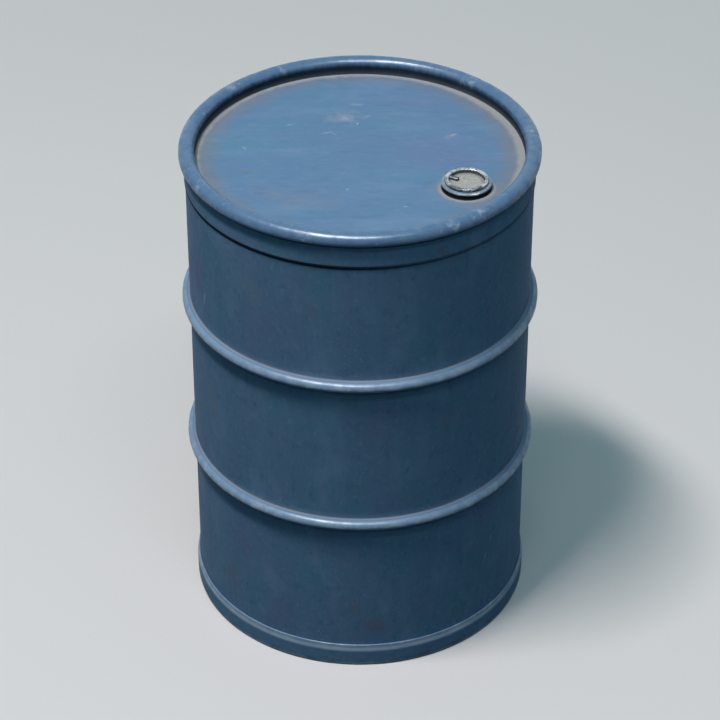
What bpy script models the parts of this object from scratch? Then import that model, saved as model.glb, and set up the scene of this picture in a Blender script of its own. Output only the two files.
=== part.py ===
"""Tight-head steel drum of about 208 litres, with one screwed bung in its head.

Metres, +Z up. The origin is the middle of the drum's foot, at floor level. Each sheet piece is
a path of (radius, height) points that is given a thickness and turned about the drum's axis,
or about the bung's axis.
"""

from math import acos, atan2, ceil, cos, floor, pi, radians, sin, sqrt

import bmesh
import bpy
from mathutils import Vector

# The drum
DRUM_HEIGHT = 0.876
BODY_RADIUS = 0.287
BODY_SHEET = 0.0012
HEAD_SHEET = 0.0012
SHEET_GAP = 0.0005

# The two rolled hoops
LOWER_HOOP_HEIGHT = 0.306
UPPER_HOOP_DROP = 0.289
HOOP_STAND = 0.0128
HOOP_WIDTH = 0.019
HOOP_BLEND = 0.0025
HOOP_CROWN_END = radians(75)

# The band under the rim: it stands proud of the wall, most at its lower edge
BAND_DROP = 0.0628
BAND_STEP = 0.001
BAND_LOWER_STAND = 0.0018
BAND_UPPER_STAND = 0.0012

# The rolled rim and the sunk top head
ROLL_WIDTH = 0.026
ROLL_OVERHANG = 0.0098
ROLL_WRAP = radians(60)
ROLL_NECK_BEND = 0.002
HEAD_RECESS = 0.0284
HEAD_FILLET = 0.0025

# The foot chime and the bottom head
CHIME_HEIGHT = 0.031
CHIME_SHOULDER = 0.011
CHIME_CORNER = 0.0018
HOOK_LENGTH = 0.026
FOOT_RECESS = 0.020
FOOT_FILLET = 0.004

# Flat stretch of panel that is turned with each fillet, before the flat fill begins
PANEL_MARGIN = 0.002

# The seam compounds
COMPOUND_GAP = 0.0004
COMPOUND_WIDTH = 0.005
COMPOUND_HEIGHT = 0.005
COMPOUND_CHAMFER = 0.4
COMPOUND_FLAT = 0.2
COMPOUND_END = radians(80)

# The closure: its place, and its sizes above the panel
BUNG_INSET = 0.0720
BUNG_ANGLE = radians(-30.7)
BOSS_RADIUS = 0.0392
BOSS_HEIGHT = 0.007
BOSS_FLARE = 0.0015
LIP_RADIUS = 0.0408
LIP_THICKNESS = 0.004
LIP_EDGE = 0.0008
NECK_WALL = 0.0022
SHOULDER_HEIGHT = 0.004
FLANGE_DEPTH = 0.008
GASKET_THICKNESS = 0.0015
PLUG_GASKET_THICKNESS = 0.0008
SEAT_GAP = 0.0003
RUNNING_GAP = 0.0004

# The plug
THREAD_PITCH_RADIUS = 0.02907
THREAD_CLEARANCE = 0.0003
PLUG_SHOULDER_RADIUS = 0.0318
PLUG_SHOULDER_DROP = 0.0015
PLUG_RIM_RADIUS = 0.0354
PLUG_RIM_THICKNESS = 0.004
PLUG_RIM_EDGE = 0.0007
RECESS_RADIUS = 0.0293
RECESS_DEPTH = 0.0075
PLUG_FLOOR = 0.002
PLUG_SKIRT = 0.0146
PLUG_WALL = 0.0027

# The wrench lug in the plug's recess
LUG_ANGLE = radians(155)
LUG_LENGTH = 0.0155
LUG_WIDTH = 0.007
LUG_HEIGHT = 0.005
LUG_EDGE = 0.0012
LUG_SINK = 0.0008

# How finely the round pieces are faceted
DRUM_STEPS = 48
BUNG_STEPS = 36
ROLL_STEP = radians(30)
HOOP_STEPS = 6
FOLD_STEPS = 4
FILLET_STEPS = 3
SMALL_BEND_STEPS = 2
LUG_EDGE_STEPS = 2
SMOOTH_ANGLE = radians(32)

# How near a point must lie to a ring to be counted as on it
RING_TOLERANCE = 0.00001

# What follows from the sizes above
BODY_MID = BODY_RADIUS - BODY_SHEET / 2
LAYER_PITCH = (BODY_SHEET + HEAD_SHEET) / 2 + SHEET_GAP
ROLL_CENTRE = BODY_RADIUS + ROLL_OVERHANG - ROLL_WIDTH / 2
ROLL_HEIGHT = DRUM_HEIGHT - ROLL_WIDTH / 2
HEAD_ROLL = ROLL_WIDTH / 2 - HEAD_SHEET / 2
BODY_ROLL = HEAD_ROLL - LAYER_PITCH
HEAD_WALL = ROLL_CENTRE - HEAD_ROLL
PANEL_TOP = DRUM_HEIGHT - HEAD_RECESS
BUNG_DISTANCE = HEAD_WALL - HEAD_SHEET / 2 - BUNG_INSET
BUNG_CENTRE = Vector((BUNG_DISTANCE * cos(BUNG_ANGLE), BUNG_DISTANCE * sin(BUNG_ANGLE), PANEL_TOP))
PLUG_CORE_RADIUS = THREAD_PITCH_RADIUS - THREAD_CLEARANCE / 2
FLANGE_BORE_RADIUS = THREAD_PITCH_RADIUS + THREAD_CLEARANCE / 2
COUNTERBORE_RADIUS = PLUG_SHOULDER_RADIUS + RUNNING_GAP
FLANGE_NECK_RADIUS = COUNTERBORE_RADIUS + NECK_WALL
BOSS_HOLE_RADIUS = FLANGE_NECK_RADIUS + RUNNING_GAP
LIP_BOTTOM = BOSS_HEIGHT + SEAT_GAP
LIP_TOP = LIP_BOTTOM + LIP_THICKNESS
PLUG_GASKET_BOTTOM = LIP_TOP + SEAT_GAP
RIM_BOTTOM = PLUG_GASKET_BOTTOM + PLUG_GASKET_THICKNESS + SEAT_GAP
RIM_TOP = RIM_BOTTOM + PLUG_RIM_THICKNESS
RECESS_FLOOR = RIM_TOP - RECESS_DEPTH
SKIRT_TOP = RECESS_FLOOR - PLUG_SHOULDER_DROP

PAINT = ("blue_paint", (0.115, 0.225, 0.36), 0.38, 0.0)
WORN_STEEL = ("worn_steel", (0.55, 0.55, 0.53), 0.35, 1.0)
COMPOUND = ("sealing_compound", (0.06, 0.06, 0.06), 0.8, 0.0)
RUBBER = ("black_rubber", (0.02, 0.02, 0.02), 0.7, 0.0)


def clear_scene():
    """Remove whatever the scene holds at the start."""
    for obj in list(bpy.data.objects):
        bpy.data.objects.remove(obj, do_unlink=True)


def material(finish):
    """One Principled material for a (name, colour, roughness, metallic) finish."""
    name, colour, roughness, metallic = finish
    mat = bpy.data.materials.get(name)
    if mat is None:
        mat = bpy.data.materials.new(name)
        mat.use_nodes = True
        shader = mat.node_tree.nodes["Principled BSDF"]
        shader.inputs["Base Color"].default_value = (*colour, 1.0)
        shader.inputs["Roughness"].default_value = roughness
        shader.inputs["Metallic"].default_value = metallic
        mat.diffuse_color = (*colour, 1.0)
    return mat


def arc(centre, radius, start, end, steps):
    """Points on an arc in the (radius, height) plane, both ends included."""
    angles = [start + (end - start) * i / steps for i in range(steps + 1)]
    return [(centre[0] + radius * cos(a), centre[1] + radius * sin(a)) for a in angles]


def roll_arc(radius, start, end):
    """Points round the rim's roll: both ends, and the whole steps that lie well between them."""
    low, high = sorted((start, end))
    first = ceil((low + ROLL_STEP / 2) / ROLL_STEP)
    last = floor((high - ROLL_STEP / 2) / ROLL_STEP)
    angles = [low] + [i * ROLL_STEP for i in range(first, last + 1)] + [high]
    if start > end:
        angles.reverse()
    return [(ROLL_CENTRE + radius * cos(a), ROLL_HEIGHT + radius * sin(a)) for a in angles]


def sheet_sides(path, thickness):
    """The two sides of a sheet whose middle follows the path, mitred at each bend."""
    points = [Vector(p) for p in path]
    normals = []
    for a, b in zip(points, points[1:]):
        along = (b - a).normalized()
        normals.append(Vector((-along.y, along.x)))
    left, right = [], []
    for i, point in enumerate(points):
        before = normals[max(i - 1, 0)]
        after = normals[min(i, len(normals) - 1)]
        offset = (before + after) / (1 + before.dot(after)) * thickness / 2
        left.append(tuple(point + offset))
        right.append(tuple(point - offset))
    return left, right


def sheet_section(path, thickness):
    """The outline of a sheet's section, from its start round its far edge and back."""
    left, right = sheet_sides(path, thickness)
    return left + right[::-1]


def spin_section(bm, section, steps, centre=(0.0, 0.0), closed=True):
    """Turn a section about the vertical line through centre."""
    cx, cy = centre
    verts = [bm.verts.new((cx + r, cy, z)) for r, z in section]
    edges = [bm.edges.new(pair) for pair in zip(verts, verts[1:])]
    if closed:
        edges.append(bm.edges.new((verts[-1], verts[0])))
    bmesh.ops.spin(bm, geom=verts + edges, cent=(cx, cy, 0.0), axis=(0.0, 0.0, 1.0),
                   angle=2 * pi, steps=steps, use_merge=True)


def ring_edges(bm, radius, height, centre=(0.0, 0.0)):
    """The open edges of a turned sheet that lie at one radius and height."""
    def on_ring(vert):
        offset = Vector((vert.co.x - centre[0], vert.co.y - centre[1]))
        return max(abs(offset.length - radius), abs(vert.co.z - height)) < RING_TOLERANCE
    return [e for e in bm.edges if e.is_boundary and all(on_ring(v) for v in e.verts)]


def finish_object(name, bm, finish, location=(0.0, 0.0, 0.0)):
    """Close the mesh, put it in a named object and shade its round faces smooth."""
    bmesh.ops.recalc_face_normals(bm, faces=bm.faces)
    mesh = bpy.data.meshes.new(name)
    bm.to_mesh(mesh)
    bm.free()
    mesh.shade_smooth()
    mesh.set_sharp_from_angle(angle=SMOOTH_ANGLE)
    mesh.materials.append(material(finish))
    obj = bpy.data.objects.new(name, mesh)
    obj.location = location
    bpy.context.scene.collection.objects.link(obj)
    return obj


def turned(name, section, finish, steps, location=(0.0, 0.0, 0.0)):
    """A solid of revolution from a closed section."""
    bm = bmesh.new()
    spin_section(bm, section, steps)
    return finish_object(name, bm, finish, location)


def hoop_path(height):
    """A rolled hoop, from its lower foot round its crown to its upper foot."""
    half = HOOP_WIDTH / 2
    crown = [HOOP_CROWN_END * (2 * i / HOOP_STEPS - 1) for i in range(HOOP_STEPS + 1)]
    points = [(BODY_MID, height - half - HOOP_BLEND)]
    points += [(BODY_MID + HOOP_STAND * cos(a), height + half * sin(a)) for a in crown]
    points.append((BODY_MID, height + half + HOOP_BLEND))
    return points


def band_path():
    """The step out to the band under the rim, and the band up to the rim's neck."""
    edge = DRUM_HEIGHT - BAND_DROP
    return [
        (BODY_MID, edge - BAND_STEP / 2),
        (BODY_MID + BAND_LOWER_STAND, edge + BAND_STEP / 2),
    ]


def neck_bend():
    """Centre of the outward bend below the rim, and the angle where it meets the roll."""
    wall = BODY_MID + BAND_UPPER_STAND
    across = wall + ROLL_NECK_BEND - ROLL_CENTRE
    down = sqrt((BODY_ROLL + ROLL_NECK_BEND) ** 2 - across ** 2)
    return (wall + ROLL_NECK_BEND, ROLL_HEIGHT - down), atan2(-down, across)


def body_shell():
    """Wall of the drum: hooked into the foot chime, and curled inside the rim's roll."""
    turn_height = LAYER_PITCH + BODY_SHEET / 2 + SHEET_GAP + HEAD_SHEET
    hook = BODY_MID + 2 * LAYER_PITCH
    path = [(hook, turn_height + HOOK_LENGTH)]
    path += arc((BODY_MID + LAYER_PITCH, turn_height), LAYER_PITCH, 0.0, -pi, FOLD_STEPS)
    path += hoop_path(LOWER_HOOP_HEIGHT)
    path += hoop_path(DRUM_HEIGHT - UPPER_HOOP_DROP)
    path += band_path()
    bend, meet = neck_bend()
    path += arc(bend, ROLL_NECK_BEND, pi, pi + meet, SMALL_BEND_STEPS)
    path += roll_arc(BODY_ROLL, meet, pi)[1:]
    return turned("body_shell", sheet_section(path, BODY_SHEET), PAINT, DRUM_STEPS)


def boss_path():
    """The drawn boss round the closure, from the panel in to the hole's edge."""
    top = PANEL_TOP + BOSS_HEIGHT - HEAD_SHEET / 2
    wall = BOSS_RADIUS - HEAD_SHEET / 2
    return [
        (wall + 2 * BOSS_FLARE + PANEL_MARGIN, PANEL_TOP - HEAD_SHEET / 2),
        (wall + 2 * BOSS_FLARE, PANEL_TOP - HEAD_SHEET / 2),
        (wall + BOSS_FLARE / 2, PANEL_TOP - HEAD_SHEET / 2 + BOSS_FLARE / 2),
        (wall, PANEL_TOP + BOSS_FLARE),
        (wall, top - BOSS_FLARE / 2),
        (wall - BOSS_FLARE / 2, top),
        (BOSS_HOLE_RADIUS, top),
    ]


def top_head():
    """Sunk head with the outer roll of the rim, and the boss that holds the closure."""
    bm = bmesh.new()
    middle = PANEL_TOP - HEAD_SHEET / 2
    fillet = (HEAD_WALL - HEAD_FILLET, middle + HEAD_FILLET)
    path = [(fillet[0] - PANEL_MARGIN, middle)]
    path += arc(fillet, HEAD_FILLET, -pi / 2, 0.0, FILLET_STEPS)
    path += roll_arc(HEAD_ROLL, pi, -ROLL_WRAP)
    spin_section(bm, sheet_section(path, HEAD_SHEET), DRUM_STEPS, closed=False)
    bung = (BUNG_CENTRE.x, BUNG_CENTRE.y)
    boss = boss_path()
    spin_section(bm, sheet_section(boss, HEAD_SHEET), BUNG_STEPS, bung, closed=False)
    for height in (PANEL_TOP, PANEL_TOP - HEAD_SHEET):
        rings = ring_edges(bm, path[0][0], height)
        rings += ring_edges(bm, boss[0][0], height, bung)
        bmesh.ops.triangle_fill(bm, edges=rings, use_beauty=True, normal=(0.0, 0.0, 1.0))
    return finish_object("top_head", bm, PAINT)


def bottom_head():
    """Foot head: raised panel, wall inside the shell, and the chime folded over its hook."""
    bm = bmesh.new()
    middle = FOOT_RECESS + HEAD_SHEET / 2
    wall = BODY_MID - LAYER_PITCH
    outside = BODY_MID + 3 * LAYER_PITCH
    hook = BODY_MID + LAYER_PITCH
    corner = HEAD_SHEET / 2 + CHIME_CORNER
    fold = LAYER_PITCH / 2
    fold_height = CHIME_HEIGHT + CHIME_SHOULDER
    fillet = (wall - FOOT_FILLET, middle - FOOT_FILLET)
    path = [(fillet[0] - PANEL_MARGIN, middle)]
    path += arc(fillet, FOOT_FILLET, pi / 2, 0.0, FILLET_STEPS)
    path += arc((wall + CHIME_CORNER, corner), CHIME_CORNER, pi, 1.5 * pi, SMALL_BEND_STEPS)
    path += arc((outside - CHIME_CORNER, corner), CHIME_CORNER, -pi / 2, 0.0, SMALL_BEND_STEPS)
    path.append((outside, CHIME_HEIGHT))
    path += arc((hook + fold, fold_height), fold, 0.0, pi, FOLD_STEPS)
    path.append((hook, fold_height - HOOK_LENGTH))
    spin_section(bm, sheet_section(path, HEAD_SHEET), DRUM_STEPS, closed=False)
    for height in (FOOT_RECESS, FOOT_RECESS + HEAD_SHEET):
        bmesh.ops.triangle_fill(bm, edges=ring_edges(bm, path[0][0], height),
                                use_beauty=True, normal=(0.0, 0.0, 1.0))
    return finish_object("bottom_head", bm, PAINT)


def top_seam_compound():
    """Ring of compound against the head's wall, under the end of the shell's curl."""
    inner = HEAD_WALL + HEAD_SHEET / 2 + COMPOUND_GAP
    top = ROLL_HEIGHT - COMPOUND_GAP
    section = [
        (inner, top - COMPOUND_HEIGHT),
        (inner + COMPOUND_WIDTH * (1 - COMPOUND_CHAMFER), top - COMPOUND_HEIGHT),
        (inner + COMPOUND_WIDTH, top - COMPOUND_HEIGHT * (1 - COMPOUND_CHAMFER)),
        (inner + COMPOUND_WIDTH, top),
        (inner, top),
    ]
    return turned("top_seam_compound", section, COMPOUND, DRUM_STEPS)


def bottom_seam_compound():
    """Ring of compound in the groove between the foot head's fillet and the shell."""
    fillet = (BODY_MID - LAYER_PITCH - FOOT_FILLET, FOOT_RECESS + HEAD_SHEET / 2 - FOOT_FILLET)
    wall = BODY_RADIUS - BODY_SHEET - COMPOUND_GAP
    under = FOOT_FILLET + HEAD_SHEET / 2 + COMPOUND_GAP
    low = acos(min(1.0, (wall - fillet[0]) / under))
    half_step = (COMPOUND_END - low) / (2 * FILLET_STEPS)
    section = arc(fillet, under / cos(half_step), low, COMPOUND_END, FILLET_STEPS)
    section.append((section[-1][0], section[-1][1] + COMPOUND_HEIGHT * COMPOUND_FLAT))
    section.append((wall, section[0][1] + COMPOUND_HEIGHT))
    return turned("bottom_seam_compound", section, COMPOUND, DRUM_STEPS)


def bung_flange():
    """Threaded insert: shoulder under the boss, neck through it, and a crimped lip on top."""
    shoulder_radius = BOSS_RADIUS - HEAD_SHEET - RUNNING_GAP
    shoulder_top = BOSS_HEIGHT - HEAD_SHEET - GASKET_THICKNESS - 2 * SEAT_GAP
    section = [
        (FLANGE_BORE_RADIUS, -FLANGE_DEPTH),
        (FLANGE_NECK_RADIUS, -FLANGE_DEPTH),
        (FLANGE_NECK_RADIUS, shoulder_top - SHOULDER_HEIGHT),
        (shoulder_radius, shoulder_top - SHOULDER_HEIGHT + (shoulder_radius - FLANGE_NECK_RADIUS) / 2),
        (shoulder_radius, shoulder_top),
        (FLANGE_NECK_RADIUS, shoulder_top),
        (FLANGE_NECK_RADIUS, LIP_BOTTOM),
        (LIP_RADIUS - LIP_EDGE, LIP_BOTTOM),
        (LIP_RADIUS, LIP_BOTTOM + LIP_EDGE),
        (LIP_RADIUS, LIP_TOP - 2 * LIP_EDGE),
        (LIP_RADIUS - LIP_EDGE, LIP_TOP - LIP_EDGE),
        (PLUG_RIM_RADIUS + LIP_EDGE, LIP_TOP),
        (COUNTERBORE_RADIUS, LIP_TOP),
        (COUNTERBORE_RADIUS, SKIRT_TOP - SEAT_GAP),
        (FLANGE_BORE_RADIUS, SKIRT_TOP - SEAT_GAP),
    ]
    return turned("bung_flange", section, PAINT, BUNG_STEPS, BUNG_CENTRE)


def ring(name, inner, outer, bottom, top, finish):
    """A flat gasket ring on the bung's axis."""
    section = [(inner, bottom), (outer, bottom), (outer, top), (inner, top)]
    return turned(name, section, finish, BUNG_STEPS, BUNG_CENTRE)


def bung_flange_gasket():
    """Gasket round the flange's neck, under the top of the boss."""
    bottom = BOSS_HEIGHT - HEAD_SHEET - GASKET_THICKNESS - SEAT_GAP
    outer = BOSS_RADIUS - HEAD_SHEET - RUNNING_GAP
    return ring("bung_flange_gasket", BOSS_HOLE_RADIUS, outer, bottom,
                bottom + GASKET_THICKNESS, RUBBER)


def bung_plug_gasket():
    """Gasket on the plug's shoulder, between its rim and the flange's lip."""
    return ring("bung_plug_gasket", COUNTERBORE_RADIUS, PLUG_RIM_RADIUS - SEAT_GAP,
                PLUG_GASKET_BOTTOM, PLUG_GASKET_BOTTOM + PLUG_GASKET_THICKNESS, RUBBER)


def wrench_lug():
    """The bar in the plug's recess that a bung wrench turns against, as a union cutter."""
    bm = bmesh.new()
    bmesh.ops.create_cube(bm, size=1.0)
    height = LUG_HEIGHT + LUG_SINK
    length = LUG_LENGTH + LUG_SINK
    bmesh.ops.scale(bm, vec=(length, LUG_WIDTH, height), verts=bm.verts)
    bmesh.ops.bevel(bm, geom=bm.edges, offset=LUG_EDGE, segments=LUG_EDGE_STEPS,
                      profile=0.5, affect="EDGES")
    reach = RECESS_RADIUS + LUG_SINK - length / 2
    place = Vector((reach * cos(LUG_ANGLE), reach * sin(LUG_ANGLE), RECESS_FLOOR - LUG_SINK + height / 2))
    lug = finish_object("wrench_lug", bm, WORN_STEEL, BUNG_CENTRE + place)
    lug.rotation_euler.z = LUG_ANGLE
    lug.hide_render = True
    lug.display_type = "WIRE"
    return lug


def bung_plug():
    """Screwed plug: rim, recess, threaded skirt open below, and the lug joined to it."""
    bm = bmesh.new()
    skirt_inner = PLUG_CORE_RADIUS - PLUG_WALL
    section = [
        (RECESS_RADIUS, RECESS_FLOOR),
        (RECESS_RADIUS, RIM_TOP - PLUG_RIM_EDGE),
        (RECESS_RADIUS + PLUG_RIM_EDGE, RIM_TOP),
        (PLUG_RIM_RADIUS - PLUG_RIM_EDGE, RIM_TOP),
        (PLUG_RIM_RADIUS, RIM_TOP - PLUG_RIM_EDGE),
        (PLUG_RIM_RADIUS, RIM_BOTTOM),
        (PLUG_SHOULDER_RADIUS, RIM_BOTTOM),
        (PLUG_SHOULDER_RADIUS, SKIRT_TOP),
        (PLUG_CORE_RADIUS, SKIRT_TOP),
        (PLUG_CORE_RADIUS, SKIRT_TOP - PLUG_SKIRT),
        (skirt_inner, SKIRT_TOP - PLUG_SKIRT),
        (skirt_inner, RECESS_FLOOR - PLUG_FLOOR),
    ]
    spin_section(bm, section, BUNG_STEPS, closed=False)
    for radius, height in (section[0], section[-1]):
        bmesh.ops.triangle_fill(bm, edges=ring_edges(bm, radius, height),
                                use_beauty=True, normal=(0.0, 0.0, 1.0))
    plug = finish_object("bung_plug", bm, WORN_STEEL, BUNG_CENTRE)
    join = plug.modifiers.new("wrench lug", "BOOLEAN")
    join.operation = "UNION"
    join.object = wrench_lug()
    return plug


clear_scene()
body_shell()
top_head()
bottom_head()
top_seam_compound()
bottom_seam_compound()
bung_flange()
bung_flange_gasket()
bung_plug()
bung_plug_gasket()
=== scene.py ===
# %% [markdown]
# # A worn blue steel drum
# The drum stands on a plain pale floor and is seen from above. Its solids come from the packed
# frame. This script gives each sheet a fine turned surface, the screwed closure its real thread,
# and every surface a finish of paint, dust, wear and bare steel.

# %% Open the frame
from math import atan2, ceil, cos, hypot, pi, radians, sin, sqrt

import bmesh
import bpy
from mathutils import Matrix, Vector, noise


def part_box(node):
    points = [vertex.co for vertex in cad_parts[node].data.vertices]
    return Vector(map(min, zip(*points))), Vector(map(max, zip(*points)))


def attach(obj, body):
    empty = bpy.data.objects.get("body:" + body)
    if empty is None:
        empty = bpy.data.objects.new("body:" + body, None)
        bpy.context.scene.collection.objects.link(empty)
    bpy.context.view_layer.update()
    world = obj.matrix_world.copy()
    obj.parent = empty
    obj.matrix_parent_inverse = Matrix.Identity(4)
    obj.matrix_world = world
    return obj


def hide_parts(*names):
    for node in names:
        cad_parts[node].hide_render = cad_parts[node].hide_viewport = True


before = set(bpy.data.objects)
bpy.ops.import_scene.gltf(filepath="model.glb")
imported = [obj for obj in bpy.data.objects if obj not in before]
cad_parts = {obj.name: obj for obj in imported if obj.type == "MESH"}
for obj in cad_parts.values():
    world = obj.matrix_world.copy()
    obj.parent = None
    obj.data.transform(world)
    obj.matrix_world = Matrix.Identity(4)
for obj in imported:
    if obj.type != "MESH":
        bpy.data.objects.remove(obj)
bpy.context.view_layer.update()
print("nodes in the frame:", ", ".join(sorted(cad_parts)))

# %% [markdown]
# A camera far away with a long lens sees a drum almost as a drawing shows it. The one here stands
# 4.7 m off, 35 degrees above the floor, and looks at the middle of the drum's height.

# %% Camera
CAMERA_DISTANCE = 4.6874
CAMERA_ELEVATION = radians(34.96)
FIELD_OF_VIEW = radians(15.07)
AIM_HEIGHT = 0.4384
SENSOR_WIDTH = 36.0


def add_object(name, data):
    """A named object with this data, linked into the scene."""
    obj = bpy.data.objects.new(name, data)
    bpy.context.scene.collection.objects.link(obj)
    return obj


camera_data = bpy.data.cameras.new("camera")
camera_data.sensor_width = SENSOR_WIDTH
camera_data.angle = FIELD_OF_VIEW
camera = add_object("camera", camera_data)
aim = Vector((0.0, 0.0, AIM_HEIGHT))
back = Vector((0.0, -cos(CAMERA_ELEVATION), sin(CAMERA_ELEVATION)))
camera.location = aim + back * CAMERA_DISTANCE
camera.rotation_euler = back.to_track_quat("Z", "Y").to_euler()
bpy.context.scene.camera = camera
bpy.context.scene.view_settings.view_transform = "Standard"
print("camera at", [round(c, 3) for c in camera.location], "lens", round(camera_data.lens, 1), "mm")

# %% [markdown]
# The sizes that can be read from the frame are read from it: the height, the radius of the rim
# and of the hoops, and the place and size of the closure. What a box can't tell, such as the
# thickness of the sheet or the radius of a bend, is a named value in metres.

# %% Sizes
HEAD_HIGH = Vector(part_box("top_head")[1])
FLANGE_LOW, FLANGE_HIGH = (Vector(corner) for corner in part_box("bung_flange"))
PLUG_LOW, PLUG_HIGH = (Vector(corner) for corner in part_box("bung_plug"))
DRUM_HEIGHT = HEAD_HIGH.z
RIM_RADIUS = HEAD_HIGH.x
HOOP_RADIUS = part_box("body_shell")[1].x
BUNG = (PLUG_LOW + PLUG_HIGH) / 2
BODY_RADIUS = 0.287
SHEET = 0.0012
SHEET_GAP = 0.0005
LAYER_PITCH = SHEET + SHEET_GAP
BODY_MID = BODY_RADIUS - SHEET / 2
PANEL_DEPTH = 0.0284
PANEL_TOP = DRUM_HEIGHT - PANEL_DEPTH
print("drum height", round(DRUM_HEIGHT, 4), "rim radius", round(RIM_RADIUS, 4))

# %% [markdown]
# Every sheet of the drum is a surface of revolution: a line in the plane of radius and height,
# given a thickness and turned. The helpers below make such lines from arcs and soft bends, give
# them two sides, and turn them. At each point they also note how sharply the sheet bends, out or
# in, because paint wears on the outer bends and dust settles in the inner ones.

# %% Lines in the plane of radius and height
def arc(centre, radius, start, end, step=radians(9)):
    """Points on an arc, both ends included."""
    steps = max(1, ceil(abs(end - start) / step))
    angles = [start + (end - start) * i / steps for i in range(steps + 1)]
    return [(centre[0] + radius * cos(a), centre[1] + radius * sin(a)) for a in angles]


def straight(start, end, spacing):
    """Points between two ends, about a spacing apart, without the ends."""
    steps = max(1, round(hypot(end[0] - start[0], end[1] - start[1]) / spacing))
    shares = [i / steps for i in range(1, steps)]
    return [tuple(a + (b - a) * t for a, b in zip(start, end)) for t in shares]


def soft_bend(start, corner, end, steps=5):
    """A curve from start to end that is pulled towards the corner, both ends included."""
    points = []
    for i in range(steps + 1):
        t = i / steps
        weights = ((1 - t) ** 2, 2 * t * (1 - t), t * t)
        pulls = list(zip(weights, (start, corner, end)))
        points.append(tuple(sum(w * point[k] for w, point in pulls) for k in (0, 1)))
    return points


def sheet_section(path, thickness):
    """The outline of a sheet whose middle follows the path, from its start round and back."""
    points = [Vector(p) for p in path]
    normals = []
    for a, b in zip(points, points[1:]):
        along = (b - a).normalized()
        normals.append(Vector((-along.y, along.x)))
    left, right = [], []
    for i, point in enumerate(points):
        before = normals[max(i - 1, 0)]
        after = normals[min(i, len(normals) - 1)]
        offset = (before + after) / (1 + before.dot(after)) * thickness / 2
        left.append(tuple(point + offset))
        right.append(tuple(point - offset))
    return left + right[::-1]


print("an arc over a right angle has", len(arc((0.0, 0.0), 1.0, 0.0, pi / 2)), "points")

# %% How sharply a section bends
BEND_WINDOW = 0.004
FULL_BEND = radians(55)


def bend_marks(section, closed):
    """How far the outline turns outwards and inwards near each point, from 0 to 1."""
    points = [Vector(p) for p in section]
    count = len(points)
    area = sum(a.cross(b) for a, b in zip(points, points[1:] + points[:1]))
    side = 1.0 if area > 0 else -1.0
    turns, lengths = [], []
    for i, point in enumerate(points):
        inside = closed or 0 < i < count - 1
        before = point - points[i - 1]
        after = points[(i + 1) % count] - point
        lengths.append(after.length)
        turns.append(side * atan2(before.cross(after), before.dot(after)) if inside else 0.0)
    edge, crease = [], []
    for i in range(count):
        total = turns[i]
        for way in (1, -1):
            walked = 0.0
            j = i
            for _ in range(count - 1):
                walked += lengths[j if way > 0 else j - 1]
                j = (j + way) % count
                if walked > BEND_WINDOW or (not closed and j in (0, count - 1)):
                    break
                total += turns[j] * (1 - walked / BEND_WINDOW)
        edge.append(min(1.0, max(0.0, total / FULL_BEND)))
        crease.append(min(1.0, max(0.0, -total / FULL_BEND)))
    return edge, crease


print("a bend counts as full from", round(FULL_BEND * 180 / pi), "degrees within", BEND_WINDOW, "m")

# %% Turn a section into faces
LEAST_ANGLE = 1e-4


def new_mesh():
    """An empty mesh with the two layers that the finishes read."""
    bm = bmesh.new()
    for layer in ("edge", "crease"):
        bm.verts.layers.float.new(layer)
    return bm


def drum_centre(r):
    """The drum's own axis."""
    return 0.0, 0.0


def no_push(angle, r, z):
    """No shift in radius or height."""
    return 0.0, 0.0


def turned_mesh(section, angles, centre_of=drum_centre, push=no_push, capped=False):
    """Turn a section about a vertical axis.

    centre_of(r) gives the centre of the ring of that radius, and push(angle, r, z) shifts single
    points. A capped section starts and ends near its axis, and gets a flat cap at each end.
    """
    bm = new_mesh()
    edge, crease = bend_marks(section, not capped)
    edge_layer = bm.verts.layers.float["edge"]
    crease_layer = bm.verts.layers.float["crease"]
    columns = []
    for angle in angles:
        column = []
        for k, (r, z) in enumerate(section):
            cx, cy = centre_of(r)
            dr, dz = push(angle, r, z)
            vert = bm.verts.new((cx + (r + dr) * cos(angle), cy + (r + dr) * sin(angle), z + dz))
            vert[edge_layer] = edge[k]
            vert[crease_layer] = crease[k]
            column.append(vert)
        columns.append(column)
    count = len(section)
    for here, there in zip(columns, columns[1:] + columns[:1]):
        for j in range(count - 1 if capped else count):
            k = (j + 1) % count
            bm.faces.new((here[j], there[j], there[k], here[k]))
    if capped:
        bm.faces.new([column[0] for column in columns])
        bm.faces.new([column[-1] for column in columns])
    return bm


def turn_angles(steps, finer=()):
    """Angles round a full turn, with extra ones about the places that need them."""
    angles = {2 * pi * i / steps for i in range(steps)}
    for centre, half, count in finer:
        angles |= {(centre + half * (2 * i / count - 1)) % (2 * pi) for i in range(count + 1)}
    ordered = sorted(angles)
    return [a for a, b in zip(ordered, ordered[1:] + [ordered[0] + 2 * pi]) if b - a > LEAST_ANGLE]


print("a turn in 8 steps has an angle every", round(turn_angles(8)[1], 3), "radians")

# %% Put a mesh in a piece
MERGE_DISTANCE = 2e-6
SHARP_ANGLE = radians(40)


def mesh_object(name, bm, mat):
    """A named object with this mesh and material."""
    mesh = bpy.data.meshes.new(name)
    bm.to_mesh(mesh)
    bm.free()
    mesh.materials.append(mat)
    return add_object(name, mesh)


def finish_piece(name, bm, mat, body, node=None):
    """Put the mesh in a named object that rides on a body and may stand for a node."""
    bmesh.ops.remove_doubles(bm, verts=bm.verts, dist=MERGE_DISTANCE)
    bmesh.ops.recalc_face_normals(bm, faces=bm.faces)
    obj = mesh_object(name, bm, mat)
    obj.data.shade_smooth()
    obj.data.set_sharp_from_angle(angle=SHARP_ANGLE)
    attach(obj, body)
    if node:
        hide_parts(node)
    print(name, "has", len(obj.data.polygons), "faces")


print("faces that meet at over", round(SHARP_ANGLE * 180 / pi), "degrees keep a sharp edge")

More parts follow.
